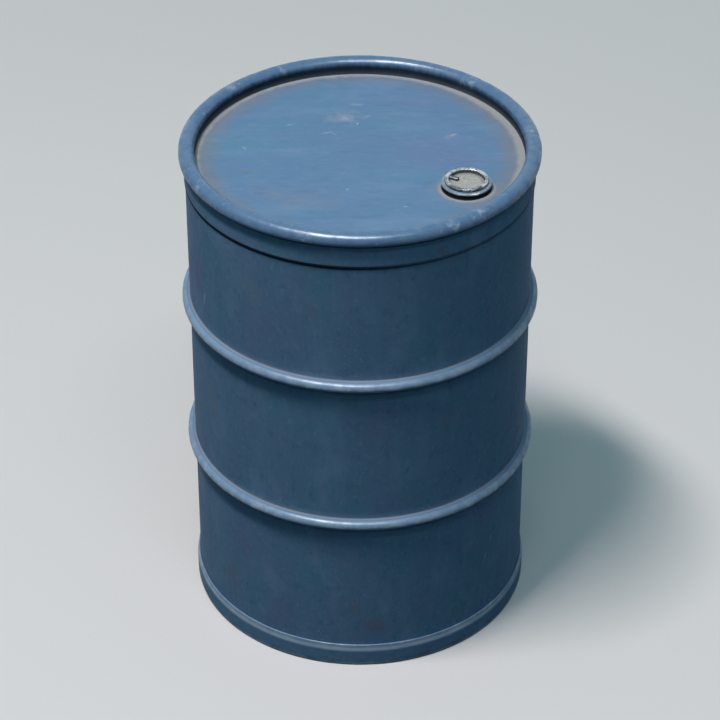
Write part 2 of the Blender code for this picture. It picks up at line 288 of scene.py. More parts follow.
# %% [markdown]
# Colours are written as they look on a screen, from 0 to 255, and turned into the linear values
# that the shader works with. A Value is what a socket gives at each point, and a sum of Values
# adds the math nodes that it needs, so that each finish below reads as the mix that it is.

# %% Colours and values
def screen_colour(red, green, blue):
    """A screen colour from 0 to 255 as a linear RGBA value."""
    shares = [value / 255 for value in (red, green, blue)]
    linear = [s / 12.92 if s <= 0.04045 else ((s + 0.055) / 1.055) ** 2.4 for s in shares]
    return (*linear, 1.0)


class Value:
    """What a socket gives at each point of a surface: a number, a colour or a vector."""

    def __init__(self, socket):
        self.socket = socket

    def __add__(self, other):
        return maths("ADD", self, other)

    def __sub__(self, other):
        return maths("SUBTRACT", self, other)

    def __rsub__(self, other):
        return maths("SUBTRACT", other, self)

    def __mul__(self, other):
        return maths("MULTIPLY", self, other)

    def __truediv__(self, other):
        return maths("DIVIDE", self, other)

    def __rtruediv__(self, other):
        return maths("DIVIDE", other, self)

    def __gt__(self, limit):
        return maths("GREATER_THAN", self, limit)

    def __lt__(self, limit):
        return maths("LESS_THAN", self, limit)

    def __abs__(self):
        return maths("ABSOLUTE", self)

    def clamp(self):
        """The same result, kept between 0 and 1."""
        self.socket.node.use_clamp = True
        return self

    def rise(self, low, high):
        """0 at low, 1 at high, and a soft rise between them; low may be the larger one."""
        inputs = {"Value": self, "From Min": low, "From Max": high}
        return Value(add_node("ShaderNodeMapRange", inputs, interpolation_type="SMOOTHSTEP")["Result"])


print("a screen grey of 128 is", round(screen_colour(128, 128, 128)[0], 3), "in linear light")

# %% Nodes and what they give
NOISE_DETAIL = 4.0
NOISE_ROUGHNESS = 0.55


def connect(value, socket):
    """Link a value to a socket, or set the socket where the value is a plain one."""
    if isinstance(value, Value):
        socket.id_data.links.new(value.socket, socket)
    else:
        socket.default_value = value


def connect_all(values, sockets):
    """Link or set several sockets by their names."""
    for name, value in values.items():
        connect(value, sockets[name])


def add_node(kind, inputs, tree=None, **settings):
    """The outputs of a new node, placed in the tree that its inputs come from."""
    tree = tree or next(v.socket.id_data for v in inputs.values() if isinstance(v, Value))
    made = tree.nodes.new(kind)
    for key, value in settings.items():
        setattr(made, key, value)
    connect_all(inputs, made.inputs)
    return made.outputs


def maths(operation, a, b=0.0):
    """The result of one sum, product, comparison or the like."""
    return Value(add_node("ShaderNodeMath", {0: a, 1: b}, operation=operation)[0])


def vector_maths(operation, a, b=(0.0, 0.0, 0.0), output="Vector"):
    """The result of one vector sum, product or the like."""
    return Value(add_node("ShaderNodeVectorMath", {0: a, 1: b}, operation=operation)[output])


def split(vector):
    """The X, Y and Z of a vector."""
    return [Value(socket) for socket in add_node("ShaderNodeSeparateXYZ", {0: vector})]


def stretched(vector, scale):
    """Coordinates that are scaled along each axis."""
    return Value(add_node("ShaderNodeMapping", {"Vector": vector, "Scale": scale})[0])


def noise_value(vector, scale, detail=NOISE_DETAIL, roughness=NOISE_ROUGHNESS, stretch=None):
    """A noise value, from coordinates that may be stretched first."""
    place = stretched(vector, stretch) if stretch else vector
    inputs = {"Vector": place, "Scale": scale, "Detail": detail, "Roughness": roughness}
    return Value(add_node("ShaderNodeTexNoise", inputs)["Fac"])


print("noise has", NOISE_DETAIL, "levels of detail where a finish asks for no other number")

# %% Layers of colour
MIX_SHARE, MIX_A, MIX_B, MIX_RESULT = 0, 6, 7, 2


def mix_colour(share, a, b):
    """Colour a with a share of colour b over it."""
    inputs = {MIX_SHARE: share, MIX_A: a, MIX_B: b}
    return Value(add_node("ShaderNodeMix", inputs, data_type="RGBA", clamp_factor=True)[MIX_RESULT])


def lay(colour, *layers):
    """A colour with layers over it: each is how much of it shows, and its colour."""
    for share, tint in layers:
        colour = mix_colour(share, colour, tint)
    return colour


print("a mix of colours uses inputs", MIX_SHARE, MIX_A, "and", MIX_B, "of its node")

# %% [markdown]
# An effect that more than one finish uses is a node group. The line that starts with node_group
# names its inputs and outputs, and the recipe below that line says what lies between them. The
# recipe's name then stands for placing the group, with the values that one material gives it.

# %% Node groups from recipes
COLOURS = ("Tone", "Faded", "Deep", "Green", "Violet")
KINDS = ("Color", "Vector")


def node_group(name, takes, *gives):
    """Build a group from the recipe that follows, and give back what places it in a material.

    takes has each input's starting value, or None for a colour or a vector.
    """
    def build(recipe):
        """Make the group's sockets, and let the recipe fill what lies between them."""
        group = bpy.data.node_groups.new(name, "ShaderNodeTree")
        for label, value in takes.items():
            kind = "Float" if value is not None else "Color" if label in COLOURS else "Vector"
            socket = group.interface.new_socket(label, in_out="INPUT", socket_type="NodeSocket" + kind)
            if value is not None:
                socket.default_value = value
        for label in gives:
            kind = label if label in KINDS else "Float"
            group.interface.new_socket(label, in_out="OUTPUT", socket_type="NodeSocket" + kind)
        taken = group.nodes.new("NodeGroupInput").outputs[:len(takes)]
        result = recipe(*[Value(socket) for socket in taken])
        results = result if len(gives) > 1 else [result]
        connect_all(dict(zip(gives, results)), group.nodes.new("NodeGroupOutput").inputs)
        print("made the group", group.name)

        def place_group(**inputs):
            """Place the group with one material's own values, and read its outputs."""
            outputs = [Value(socket) for socket in add_node("ShaderNodeGroup", inputs, node_tree=group)]
            return outputs if len(gives) > 1 else outputs[0]
        return place_group
    return build


# %% [markdown]
# Old enamel isn't one blue. It fades in clouds, goes deeper in small spots, and leans to green in
# some places and to violet in others. This group mixes five tones by noise of four sizes.

# %% Group: mottled paint
CLOUDS = (
    ("Green", 0.8, 0.5, 0.3), ("Violet", 0.8, 0.5, 0.7), ("Faded", 1.3, 0.48, 0.75),
    ("Deep", 5.0, 0.5, 0.85), ("Faded", 9.0, 0.5, 0.8),
)


@node_group("Mottled paint", {"Vector": None, **dict.fromkeys(COLOURS), "Scale": 6.0, "Amount": 0.6}, "Color")
def mottled_paint(vector, tone, faded, deep, green, violet, scale, amount):
    """Four tones in clouds over the first one."""
    tints = {"Faded": faded, "Deep": deep, "Green": green, "Violet": violet}
    colour = tone
    for label, finer, low, high in CLOUDS:
        clouds = noise_value(vector, scale * finer, 5.0, 0.6)
        colour = mix_colour(clouds.rise(low, high) * amount, colour, tints[label])
    return colour


# %% [markdown]
# Paint wears through on edges first, but never in an even line: it chips and rubs off in
# flecks. The group takes how sharp the edge is at each point, from the mesh, and lets two sizes
# of noise decide where the paint is gone, where it is rubbed pale, and where hands have been.

# %% Group: edge wear
@node_group("Edge wear", {"Vector": None, "Edge": 0.0, "Scale": 60.0, "Amount": 0.5},
            "Mask", "Rubbed", "Handled")
def edge_wear(vector, edge, scale, amount):
    """Where paint is gone, rubbed pale, and handled."""
    fine = noise_value(vector, scale, 6.0, 0.7)
    wide = noise_value(vector, scale * 0.12, 3.0)
    level = fine * 0.6 + wide * 0.7 + edge * amount
    patchy = fine.rise(0.38, 0.6) * 0.55 + 0.55
    return level.rise(1.05, 1.12), level.rise(0.85, 1.15), edge.rise(0.05, 0.28) * patchy


# %% [markdown]
# Dust lies on what faces up, in a film that is never quite even. Where the sheet bends inwards it
# gathers as grime, pale where rain can reach and dry it. Under a ledge the crease is painted dark as shade.

# %% Groups: settled dust, and crease grime and painted shade
@node_group("Settled dust", {"Vector": None, "Up": 0.0, "Amount": 0.85}, "Film", "Uneven")
def settled_dust(vector, up, amount):
    """A film on what faces up, and the unevenness of it."""
    uneven = noise_value(vector, 22.0, 5.0, 0.6) + 0.45
    return (up.rise(0.05, 0.6) * amount * uneven).clamp(), uneven


@node_group("Crease grime and shade", {"Vector": None, "Crease": 0.0, "Up": 0.0, "Scale": 25.0, "Amount": 1.0},
            "Mask", "Settled", "Sheltered")
def crease_grime_and_shade(vector, crease, up, scale, amount):
    """All the grime, its pale share, and its dark share under a ledge, which is painted shade."""
    level = crease * (noise_value(vector, scale, 6.0, 0.65) + 0.45)
    mask = (level.rise(0.12, 0.75) * amount).clamp()
    # The last share, on creases that face down, is painted shade.
    return mask, mask * up.rise(0.02, 0.4), mask * up.rise(0.02, -0.2)


# %% [markdown]
# Handling leaves hair-thin scratches. A noise that is stretched sixtyfold along one direction
# makes lines, a second noise bends them, and a third keeps only some of them.

# %% Group: fine scratches
SCRATCH_STRETCH = (0.35, 22.0, 22.0)
SCRATCH_BEND = (0.02, 0.02, 0.02)


@node_group("Fine scratches", {"Vector": None, "Scale": 30.0, "Share": 0.5}, "Mask")
def fine_scratches(vector, scale, share):
    """Bent hair lines, and only some of them."""
    bent = Value(add_node("ShaderNodeTexNoise", {"Vector": vector, "Scale": 3.0, "Detail": 2.0})["Color"])
    lines = vector_maths("ADD", vector, vector_maths("MULTIPLY", bent, SCRATCH_BEND))
    fine = noise_value(lines, scale, 2.0, 0.5, SCRATCH_STRETCH)
    kept = noise_value(vector, scale * 0.5, 2.0).rise(0.75 - share * 0.3, 0.75)
    return (fine.rise(0.70, 0.76) * kept).clamp()


# %% [markdown]
# Two kinds of mark have a place of their own: a ring of dried dirt, such as the one that rain
# leaves round the closure, and a single scuff where something was dragged. The ring needs the
# distance from an upright axis, which other finishes use too.

# %% Groups: distance, dirt ring and scuff
LEVEL_ONLY = (1.0, 1.0, 0.0)


@node_group("Distance from an axis", {"Vector": None, "Centre": None}, "Distance")
def distance_from_axis(vector, centre):
    """How far a point is from an upright axis."""
    flat = vector_maths("MULTIPLY", vector_maths("SUBTRACT", vector, centre), LEVEL_ONLY)
    return vector_maths("LENGTH", flat, output="Value")


@node_group("Dirt ring", {"Vector": None, "Centre": None, "Radius": 0.27, "Width": 0.02, "Ragged": 0.5,
                          "Scale": 20.0}, "Mask")
def dirt_ring(vector, centre, radius, width, ragged, scale):
    """A ring with ragged edges."""
    gap = abs(distance_from_axis(Vector=vector, Centre=centre) - radius)
    swing = (noise_value(vector, scale, 6.0, 0.6) - 0.5) * (ragged * 2.2)
    return (1.0 - gap / width + swing).rise(0.0, 1.0)


@node_group("Scuff mark", {"Vector": None, "Place": None, "Angle": 0.0, "Length": 0.01, "Width": 0.002},
            "Mask")
def scuff_mark(vector, place, angle, length, width):
    """A long spot with ragged edges, turned about the vertical."""
    offset = vector_maths("SUBTRACT", vector, place)
    x, y, _ = split(Value(add_node("ShaderNodeVectorRotate", {"Vector": offset, "Angle": angle})[0]))
    along, across = x / length, y / width
    far = maths("SQRT", along * along + across * across)
    ragged = noise_value(vector, 1.1 / width, 5.0, 0.7) - 0.5
    return (far + ragged * 2.4).rise(1.0, 0.25)


# %% [markdown]
# The wall's marks run up, down and round the drum, so the wall is unrolled for them: the first
# group turns a point into the arc length round the drum, the height, and the radius. The second
# gives what weather leaves on the unrolled wall: streaks washed down by rain, and fine pale specks
# in loose swarms.

# %% Groups: unrolled wall and weather
STREAK_STRETCH = (1.0, 0.14, 0.0)
SWARM_STRETCH = (1.0, 0.6, 0.0)


@node_group("Unrolled wall", {"Vector": None}, "Vector")
def unrolled_wall(vector):
    """Arc length, height and radius in place of X, Y and Z."""
    x, y, z = split(vector)
    arc_length = maths("ARCTAN2", y, x) * BODY_RADIUS
    radius = maths("SQRT", x * x + y * y)
    return Value(add_node("ShaderNodeCombineXYZ", {"X": arc_length, "Y": z, "Z": radius})[0])


@node_group("Weather", {"Vector": None, "Unrolled": None, "Amount": 0.3, "Speckled": 0.42},
            "Washed", "Specks")
def weather(vector, unrolled, amount, speckled):
    """Washed streaks and swarms of specks."""
    streaks = noise_value(unrolled, 20.0, 5.0, 0.6, STREAK_STRETCH)
    swarms = noise_value(unrolled, 9.0, 3.0, 0.5, SWARM_STRETCH)
    dots = noise_value(vector, 210.0, 4.0, 0.6) + swarms * 0.35
    return streaks.rise(0.45, 0.75) * amount, dots.rise(0.82, 0.97) * speckled


# %% [markdown]
# The wall is one sheet, rolled to a tube and welded along its length. Its hoops are pressed out
# by rollers, which leaves round crowns and soft feet. The lower end is hooked into the foot
# chime, and the upper end is curled inside the rim. Each path below is the middle of the sheet.

# %% The wall's path
HOOP_HEIGHTS = (0.306, DRUM_HEIGHT - 0.289)
HOOP_STAND = HOOP_RADIUS - SHEET / 2 - BODY_MID
HOOP_HALF = 0.0095
HOOP_BLEND = 0.0025
HOOP_TURN = radians(70)
BAND_EDGE = DRUM_HEIGHT - 0.0628
BAND_STANDS = (0.0018, 0.0012)
BAND_FOOT = 0.0014
BAND_BEND = 0.0006
BAND_HEAD = 0.0016
BEND_STEPS = 3
ROW_SPACING = 0.012
HOOK_LENGTH = 0.026
HOOK_TURN_HEIGHT = LAYER_PITCH + SHEET / 2 + SHEET_GAP + SHEET
ROLL_RADIUS = 0.013
ROLL_CENTRE = RIM_RADIUS - ROLL_RADIUS
ROLL_HEIGHT = DRUM_HEIGHT - ROLL_RADIUS
HEAD_ROLL = ROLL_RADIUS - SHEET / 2
BODY_ROLL = HEAD_ROLL - LAYER_PITCH
NECK_BEND = 0.002
NECK_SPACING = 0.006


def hoop_path(height):
    """A rolled hoop from its lower foot to its upper foot."""
    crown = arc((0.0, 0.0), 1.0, -HOOP_TURN, HOOP_TURN)
    crown = [(BODY_MID + HOOP_STAND * r, height + HOOP_HALF * z) for r, z in crown]
    reach = HOOP_HALF / sin(HOOP_TURN)
    foot = HOOP_HALF + HOOP_BLEND
    lower = soft_bend((BODY_MID, height - foot), (BODY_MID, height - reach), crown[0])
    upper = soft_bend(crown[-1], (BODY_MID, height + reach), (BODY_MID, height + foot))
    return lower + crown[1:-1] + upper


def wall_path():
    """The middle of the wall's sheet, from the hook in the foot to the curl in the rim."""
    path = [(BODY_MID + 2 * LAYER_PITCH, HOOK_TURN_HEIGHT + HOOK_LENGTH)]
    path += arc((BODY_MID + LAYER_PITCH, HOOK_TURN_HEIGHT), LAYER_PITCH, 0.0, -pi, radians(30))
    for height in HOOP_HEIGHTS:
        hoop = hoop_path(height)
        path += straight(path[-1], hoop[0], ROW_SPACING) + hoop
    low, high = BAND_STANDS
    start = (BODY_MID, BAND_EDGE - BAND_FOOT)
    path += straight(path[-1], start, ROW_SPACING)
    halfway = (BODY_MID + low * 0.5, BAND_EDGE)
    path += soft_bend(start, (BODY_MID, BAND_EDGE - BAND_BEND), halfway, BEND_STEPS)
    corner = (BODY_MID + low, BAND_EDGE + BAND_BEND)
    path += soft_bend(path[-1], corner, (BODY_MID + low, BAND_EDGE + BAND_HEAD), BEND_STEPS)[1:]
    bend_radius = BODY_MID + high + NECK_BEND
    across = bend_radius - ROLL_CENTRE
    down = sqrt((BODY_ROLL + NECK_BEND) ** 2 - across ** 2)
    meet = atan2(-down, across)
    bend = (bend_radius, ROLL_HEIGHT - down)
    path += straight(path[-1], (bend_radius - NECK_BEND, bend[1]), NECK_SPACING)
    path += arc(bend, NECK_BEND, pi, pi + meet, radians(15))
    path += arc((ROLL_CENTRE, ROLL_HEIGHT), BODY_ROLL, meet, pi, radians(10))[1:]
    return path


print("the wall's path has", len(wall_path()), "points")

# %% [markdown]
# Rolled sheet is never quite round. The wall gets a gentle unevenness of a few tenths of a
# millimetre, which dies out at the hoops and the seams, and the raised bead of its lengthwise
# weld. The rim gets a few shallow knocks.

# %% Small unevenness
WALL_WAVE = 0.00045
PANEL_WAVE = 0.0006
WELD_ANGLE = radians(4.3)
WELD_WIDTH = 0.0022
WELD_HEIGHT = 0.0003
WELD_TOP = 0.85
FADE_LENGTH = 0.03
CALM_ENDS = (0.045, BAND_EDGE - 0.004)
CALM_AT_HOOP = 0.013
KNOCKS = (
    (radians(4.3), 0.010, 0.0006), (radians(-43), 0.016, 0.0005), (radians(-98), 0.022, 0.00035),
    (radians(44), 0.014, 0.0004), (radians(127), 0.018, 0.0005), (radians(-150), 0.013, 0.0004),
)
DRUM_STEPS = 216
FOOT_STEPS = 180
WELD_STEPS = 20
KNOCK_STEPS = 8


def eased(share):
    """A share from 0 to 1 with a soft start and end."""
    return share * share * (3 - 2 * share)


def turn_between(angle, place):
    """How far an angle lies past a place, from minus half a turn to half a turn."""
    return (angle - place + pi) % (2 * pi) - pi


def wall_push(angle, r, z):
    """The shift of a point of the wall, in radius and height."""
    low, high = CALM_ENDS
    ends = [low, high] + [h + side * CALM_AT_HOOP for h in HOOP_HEIGHTS for side in (-1, 1)]
    fade = min(1.0, min(abs(z - end) for end in ends) / FADE_LENGTH)
    if not low < z < high or any(abs(z - h) < CALM_AT_HOOP for h in HOOP_HEIGHTS):
        fade = 0.0
    around = Vector((2.4 * cos(angle), 2.4 * sin(angle), 6.0 * z))
    shift = WALL_WAVE * eased(fade) * noise.noise(around)
    bead = max(0.0, 1 - (turn_between(angle, WELD_ANGLE) * BODY_RADIUS / WELD_WIDTH) ** 2)
    if low < z < WELD_TOP and r > BODY_MID:
        shift += WELD_HEIGHT * bead * min(1.0, fade * 4)
    return shift, 0.0


def rim_push(angle, r, z):
    """Shallow knocks in the outer roll of the rim."""
    dr = dz = 0.0
    out, up = r - ROLL_CENTRE, z - ROLL_HEIGHT
    if up < -ROLL_RADIUS * 0.4 or r < ROLL_CENTRE - ROLL_RADIUS * 0.8:
        return 0.0, 0.0
    for place, length, depth in KNOCKS:
        far = turn_between(angle, place) * RIM_RADIUS / length
        share = depth * max(0.0, 1 - far * far) ** 2 / ROLL_RADIUS
        dr -= share * max(0.0, out)
        dz -= share * max(0.0, up)
    return dr, dz


FINER = [(WELD_ANGLE, 0.02, WELD_STEPS)] + [(a, length / RIM_RADIUS, KNOCK_STEPS) for a, length, _ in KNOCKS]
DRUM_ANGLES = turn_angles(DRUM_STEPS, FINER)
print("the drum is turned in", len(DRUM_ANGLES), "steps")

# %% [markdown]
# The sunk head is one pressed sheet. It is flat but for a slight spring of the metal, turns up
# into the wall of the rim, and rolls over the end of the body. Round the closure it is drawn up
# to a low boss. The rings of the panel glide from the drum's axis to the closure's axis, so that
# one set of rings meets both.

# %% The head's path
HEAD_WALL = ROLL_CENTRE - HEAD_ROLL
HEAD_FILLET = 0.0025
ROLL_WRAP = radians(60)
PANEL_MIDDLE = PANEL_TOP - SHEET / 2
BOSS_RADIUS = 0.0392
BOSS_HEIGHT = 0.007
BOSS_FLARE = 0.0015
BOSS_HOLE = 0.0348
PANEL_OUTER = HEAD_WALL - HEAD_FILLET - 0.002
PANEL_INNER = BOSS_RADIUS + 0.0045
PANEL_ROWS = 26
EDGE_SPRING = (0.05, 0.03)


def head_path():
    """The middle of the head's sheet, from the end of its roll in to the closure's hole."""
    path = arc((ROLL_CENTRE, ROLL_HEIGHT), HEAD_ROLL, -ROLL_WRAP, pi, radians(7.5))
    fillet = (HEAD_WALL - HEAD_FILLET, PANEL_MIDDLE + HEAD_FILLET)
    path += straight(path[-1], (HEAD_WALL, fillet[1]), 0.003)
    path += arc(fillet, HEAD_FILLET, 0.0, -pi / 2, radians(15))
    step = (PANEL_OUTER - PANEL_INNER) / PANEL_ROWS
    path += [(PANEL_OUTER - step * i, PANEL_MIDDLE) for i in range(PANEL_ROWS + 1)]
    wall = BOSS_RADIUS - SHEET / 2
    foot = (wall, PANEL_MIDDLE)
    top = PANEL_MIDDLE + BOSS_HEIGHT
    path += soft_bend((wall + 2 * BOSS_FLARE, PANEL_MIDDLE), foot, (wall, PANEL_MIDDLE + 2 * BOSS_FLARE))
    path += soft_bend((wall, top - BOSS_FLARE / 2), (wall, top), (wall - BOSS_FLARE / 2, top), BEND_STEPS)
    return path + [(BOSS_HOLE, top)]


def head_centre(r):
    """The centre of the ring of the panel that has this radius."""
    share = min(1.0, max(0.0, (PANEL_OUTER - r) / (PANEL_OUTER - PANEL_INNER)))
    return BUNG.x * share, BUNG.y * share


def head_push(angle, r, z):
    """The spring of the panel, and the knocks in the rim."""
    if r > PANEL_OUTER:
        return rim_push(angle, r, z)
    outer, inner = EDGE_SPRING
    edge = min(1.0, (PANEL_OUTER - r) / outer, max(0.0, r - PANEL_INNER) / inner)
    cx, cy = head_centre(r)
    place = Vector((cx + r * cos(angle), cy + r * sin(angle), 0.0))
    return 0.0, PANEL_WAVE * eased(edge) * noise.noise(place * 9.0)


print("the head's path has", len(head_path()), "points")

# %% [markdown]
# The foot is the same kind of sheet, the other way up: a sunk panel, a wall inside the body, a
# flat ring that the drum stands on, and an outer skirt folded in at its top over the body's hook.

# %% The foot's path
FOOT_RECESS = 0.020
FOOT_FILLET = 0.004
CHIME_CORNER = 0.0018
CHIME_HEIGHT = 0.031
CHIME_SHOULDER = 0.011
CHIME_SPACING = 0.005
SHOULDER_START = 0.002
SHOULDER_END = (0.0005, 0.0022)
FOOT_ROWS = 12


def foot_path():
    """The middle of the foot's sheet, from its panel out to the end of its inner fold."""
    middle = FOOT_RECESS + SHEET / 2
    wall = BODY_MID - LAYER_PITCH
    outside = BODY_MID + 3 * LAYER_PITCH
    hook = BODY_MID + LAYER_PITCH
    fold = LAYER_PITCH / 2
    fold_height = CHIME_HEIGHT + CHIME_SHOULDER
    corner = SHEET / 2 + CHIME_CORNER
    fillet = (wall - FOOT_FILLET, middle - FOOT_FILLET)
    path = [(fillet[0] * i / FOOT_ROWS, middle) for i in range(1, FOOT_ROWS)]
    path += arc(fillet, FOOT_FILLET, pi / 2, 0.0)
    path += arc((wall + CHIME_CORNER, corner), CHIME_CORNER, pi, 1.5 * pi, radians(15))
    path += arc((outside - CHIME_CORNER, corner), CHIME_CORNER, -pi / 2, 0.0, radians(15))
    path += straight(path[-1], (outside, CHIME_HEIGHT), CHIME_SPACING)
    inwards, upwards = SHOULDER_END
    shoulder = (outside - inwards, CHIME_HEIGHT + upwards)
    path += soft_bend((outside, CHIME_HEIGHT - SHOULDER_START), (outside, CHIME_HEIGHT), shoulder, 4)
    path += arc((hook + fold, fold_height), fold, 0.0, pi, radians(20))
    return path + [(hook, fold_height - HOOK_LENGTH)]


print("the foot's path has", len(foot_path()), "points")

# %% [markdown]
# The closure is a cast and machined insert that is crimped through the boss, and a screwed plug.
# Both carry a right-handed pipe thread of eleven turns to the inch. The thread is made by moving
# the turned surface in and out with the height and the angle, so that the plug's crests lie in
# the insert's grooves at every stage of unscrewing.

# %% The thread
THREAD_PITCH = 0.0254 / 11
THREAD_RADIUS = 0.02907
THREAD_DEPTH = 0.00148
THREAD_SLACK = 0.00007
THREAD_RUN_OUT = 0.0016
THREAD_ROUNDING = 0.35
THREAD_ROW = THREAD_PITCH / 12


def thread_push(low, high, slack):
    """A push that cuts the thread between two heights, with a little slack for running."""
    def push(angle, r, z):
        """In and out with the thread, where the surface lies at its radius."""
        if abs(r - THREAD_RADIUS) > 0.0004 or not low < z < high:
            return 0.0, 0.0
        phase = ((z - PANEL_TOP) / THREAD_PITCH - angle / (2 * pi)) % 1.0
        wave = 4 * abs(phase - 0.5) - 1
        rounded = sin(wave * pi / 2) * THREAD_ROUNDING + wave * (1 - THREAD_ROUNDING)
        fade = min(1.0, (z - low) / THREAD_RUN_OUT, (high - z) / THREAD_RUN_OUT)
        return fade * THREAD_DEPTH / 2 * rounded + slack, 0.0
    return push


print("the thread climbs", round(THREAD_PITCH * 1000, 3), "mm a turn")

# %% The closure's sizes
LIP_RADIUS = FLANGE_HIGH.x - BUNG.x
LIP_TOP = FLANGE_HIGH.z
LIP_BOTTOM = LIP_TOP - 0.004
LIP_EDGES = (0.0010, 0.0018)
FLANGE_BOTTOM = FLANGE_LOW.z
FLANGE_NECK = 0.0344
FLANGE_CHAMFER = 0.0006
COUNTERBORE = 0.0322
SHOULDER_TOP = PANEL_TOP + 0.0037
SHOULDER_RADIUS = 0.0376
SHOULDER_BOTTOM = SHOULDER_TOP - 0.004
SHOULDER_SLOPE = 0.0016
RIM_TOP = PLUG_HIGH.z
RIM_BOTTOM = RIM_TOP - 0.004
PLUG_RIM = PLUG_HIGH.x - BUNG.x
PLUG_SHOULDER = 0.0318
PLUG_EDGES = (0.0012, 0.0011, 0.0008)
RECESS_CORNER = 0.0008
RECESS_RADIUS = 0.0293
RECESS_FLOOR = RIM_TOP - 0.0075
SKIRT_TOP = RECESS_FLOOR - 0.0015
COUNTERBORE_FLOOR = SKIRT_TOP - 0.0003
SKIRT_BOTTOM = PLUG_LOW.z
SKIRT_INNER = THREAD_RADIUS - 0.00285
SKIRT_CEILING = RECESS_FLOOR - 0.002
SKIRT_CORNER = 0.0008
BUNG_ANGLES = turn_angles(144)
print("lip radius", round(LIP_RADIUS, 4), "and rim radius of the plug", round(PLUG_RIM, 4))

# %% The sections of the insert and the plug
def flange_section():
    """The insert's outline, from the foot of its bore round the outside."""
    wall = LIP_RADIUS
    under, over = LIP_EDGES
    section = [(THREAD_RADIUS, FLANGE_BOTTOM), (FLANGE_NECK - FLANGE_CHAMFER, FLANGE_BOTTOM)]
    section += [(FLANGE_NECK, FLANGE_BOTTOM + FLANGE_CHAMFER), (FLANGE_NECK, SHOULDER_BOTTOM)]
    section += [(SHOULDER_RADIUS, SHOULDER_BOTTOM + SHOULDER_SLOPE), (SHOULDER_RADIUS, SHOULDER_TOP)]
    section += [(FLANGE_NECK, SHOULDER_TOP), (FLANGE_NECK, LIP_BOTTOM)]
    section += arc((wall - under, LIP_BOTTOM + under), under, -pi / 2, 0.0, radians(18))
    section += arc((wall - over, LIP_TOP - 0.0022), over, 0.0, radians(70), radians(12))
    slope = ((wall - 0.0022, LIP_TOP - 0.0004), (wall - 0.0036, LIP_TOP), (wall - 0.0052, LIP_TOP))
    section += soft_bend(*slope, 4)
    section += [(COUNTERBORE, LIP_TOP), (COUNTERBORE, COUNTERBORE_FLOOR), (THREAD_RADIUS, COUNTERBORE_FLOOR)]
    return section + straight(section[-1], section[0], THREAD_ROW)


def plug_section():
    """The plug's outline, from the middle of its recess out, down and in under its floor."""
    inner, outer, lower = PLUG_EDGES
    section = [(RECESS_RADIUS * i / 10, RECESS_FLOOR) for i in range(1, 10)]
    section += soft_bend((RECESS_RADIUS - RECESS_CORNER, RECESS_FLOOR), (RECESS_RADIUS, RECESS_FLOOR),
                         (RECESS_RADIUS, RECESS_FLOOR + RECESS_CORNER), 4)
    section += straight(section[-1], (RECESS_RADIUS, RIM_TOP - inner), 0.001)
    section += arc((RECESS_RADIUS + inner, RIM_TOP - inner), inner, pi, pi / 2, radians(15))
    section += arc((PLUG_RIM - outer, RIM_TOP - outer), outer, pi / 2, 0.0, radians(15))
    section += arc((PLUG_RIM - lower, RIM_BOTTOM + lower), lower, 0.0, -pi / 2, radians(22.5))
    section += [(PLUG_SHOULDER, RIM_BOTTOM), (PLUG_SHOULDER, SKIRT_TOP), (THREAD_RADIUS, SKIRT_TOP)]
    section += straight(section[-1], (THREAD_RADIUS, SKIRT_BOTTOM), THREAD_ROW)
    section += [(THREAD_RADIUS, SKIRT_BOTTOM), (SKIRT_INNER, SKIRT_BOTTOM)]
    section += [(SKIRT_INNER, SKIRT_CEILING - SKIRT_CORNER), (SKIRT_INNER - SKIRT_CORNER, SKIRT_CEILING)]
    return section + [(SKIRT_INNER * (5 - i) / 5, SKIRT_CEILING) for i in range(1, 5)]


def recess_push(angle, r, z):
    """Dried dirt makes the floor of the plug's recess slightly uneven."""
    if r > RECESS_RADIUS - 0.0006 or abs(z - RECESS_FLOOR) > 0.0002:
        return 0.0, 0.0
    place = Vector((r * cos(angle), r * sin(angle), 0.0))
    fade = min(1.0, (RECESS_RADIUS - r) / 0.004)
    return 0.0, fade * 0.00035 * noise.noise(place * 160.0)


def plug_push(angle, r, z):
    """The thread of the skirt and the unevenness of the recess."""
    dr, dz = PLUG_THREAD(angle, r, z)
    return dr, dz + recess_push(angle, r, z)[1]


PLUG_THREAD = thread_push(SKIRT_BOTTOM, SKIRT_TOP, -THREAD_SLACK)
FLANGE_THREAD = thread_push(FLANGE_BOTTOM, COUNTERBORE_FLOOR, THREAD_SLACK)
print("turns of thread on the plug:", round((SKIRT_TOP - SKIRT_BOTTOM) / THREAD_PITCH, 1))

# %% [markdown]
# A bung wrench turns the plug by a short cast bar that stands on the recess floor against its
# wall. The bar is a block with rounded edges, wider at its foot than at its top.

# %% The wrench bar
LUG_ANGLE = radians(155)
LUG_LENGTH = 0.0163
LUG_WIDTH = 0.007
LUG_HEIGHT = 0.0058
LUG_SINK = 0.0008
LUG_EDGE = 0.0013
LUG_TAPER = 0.82


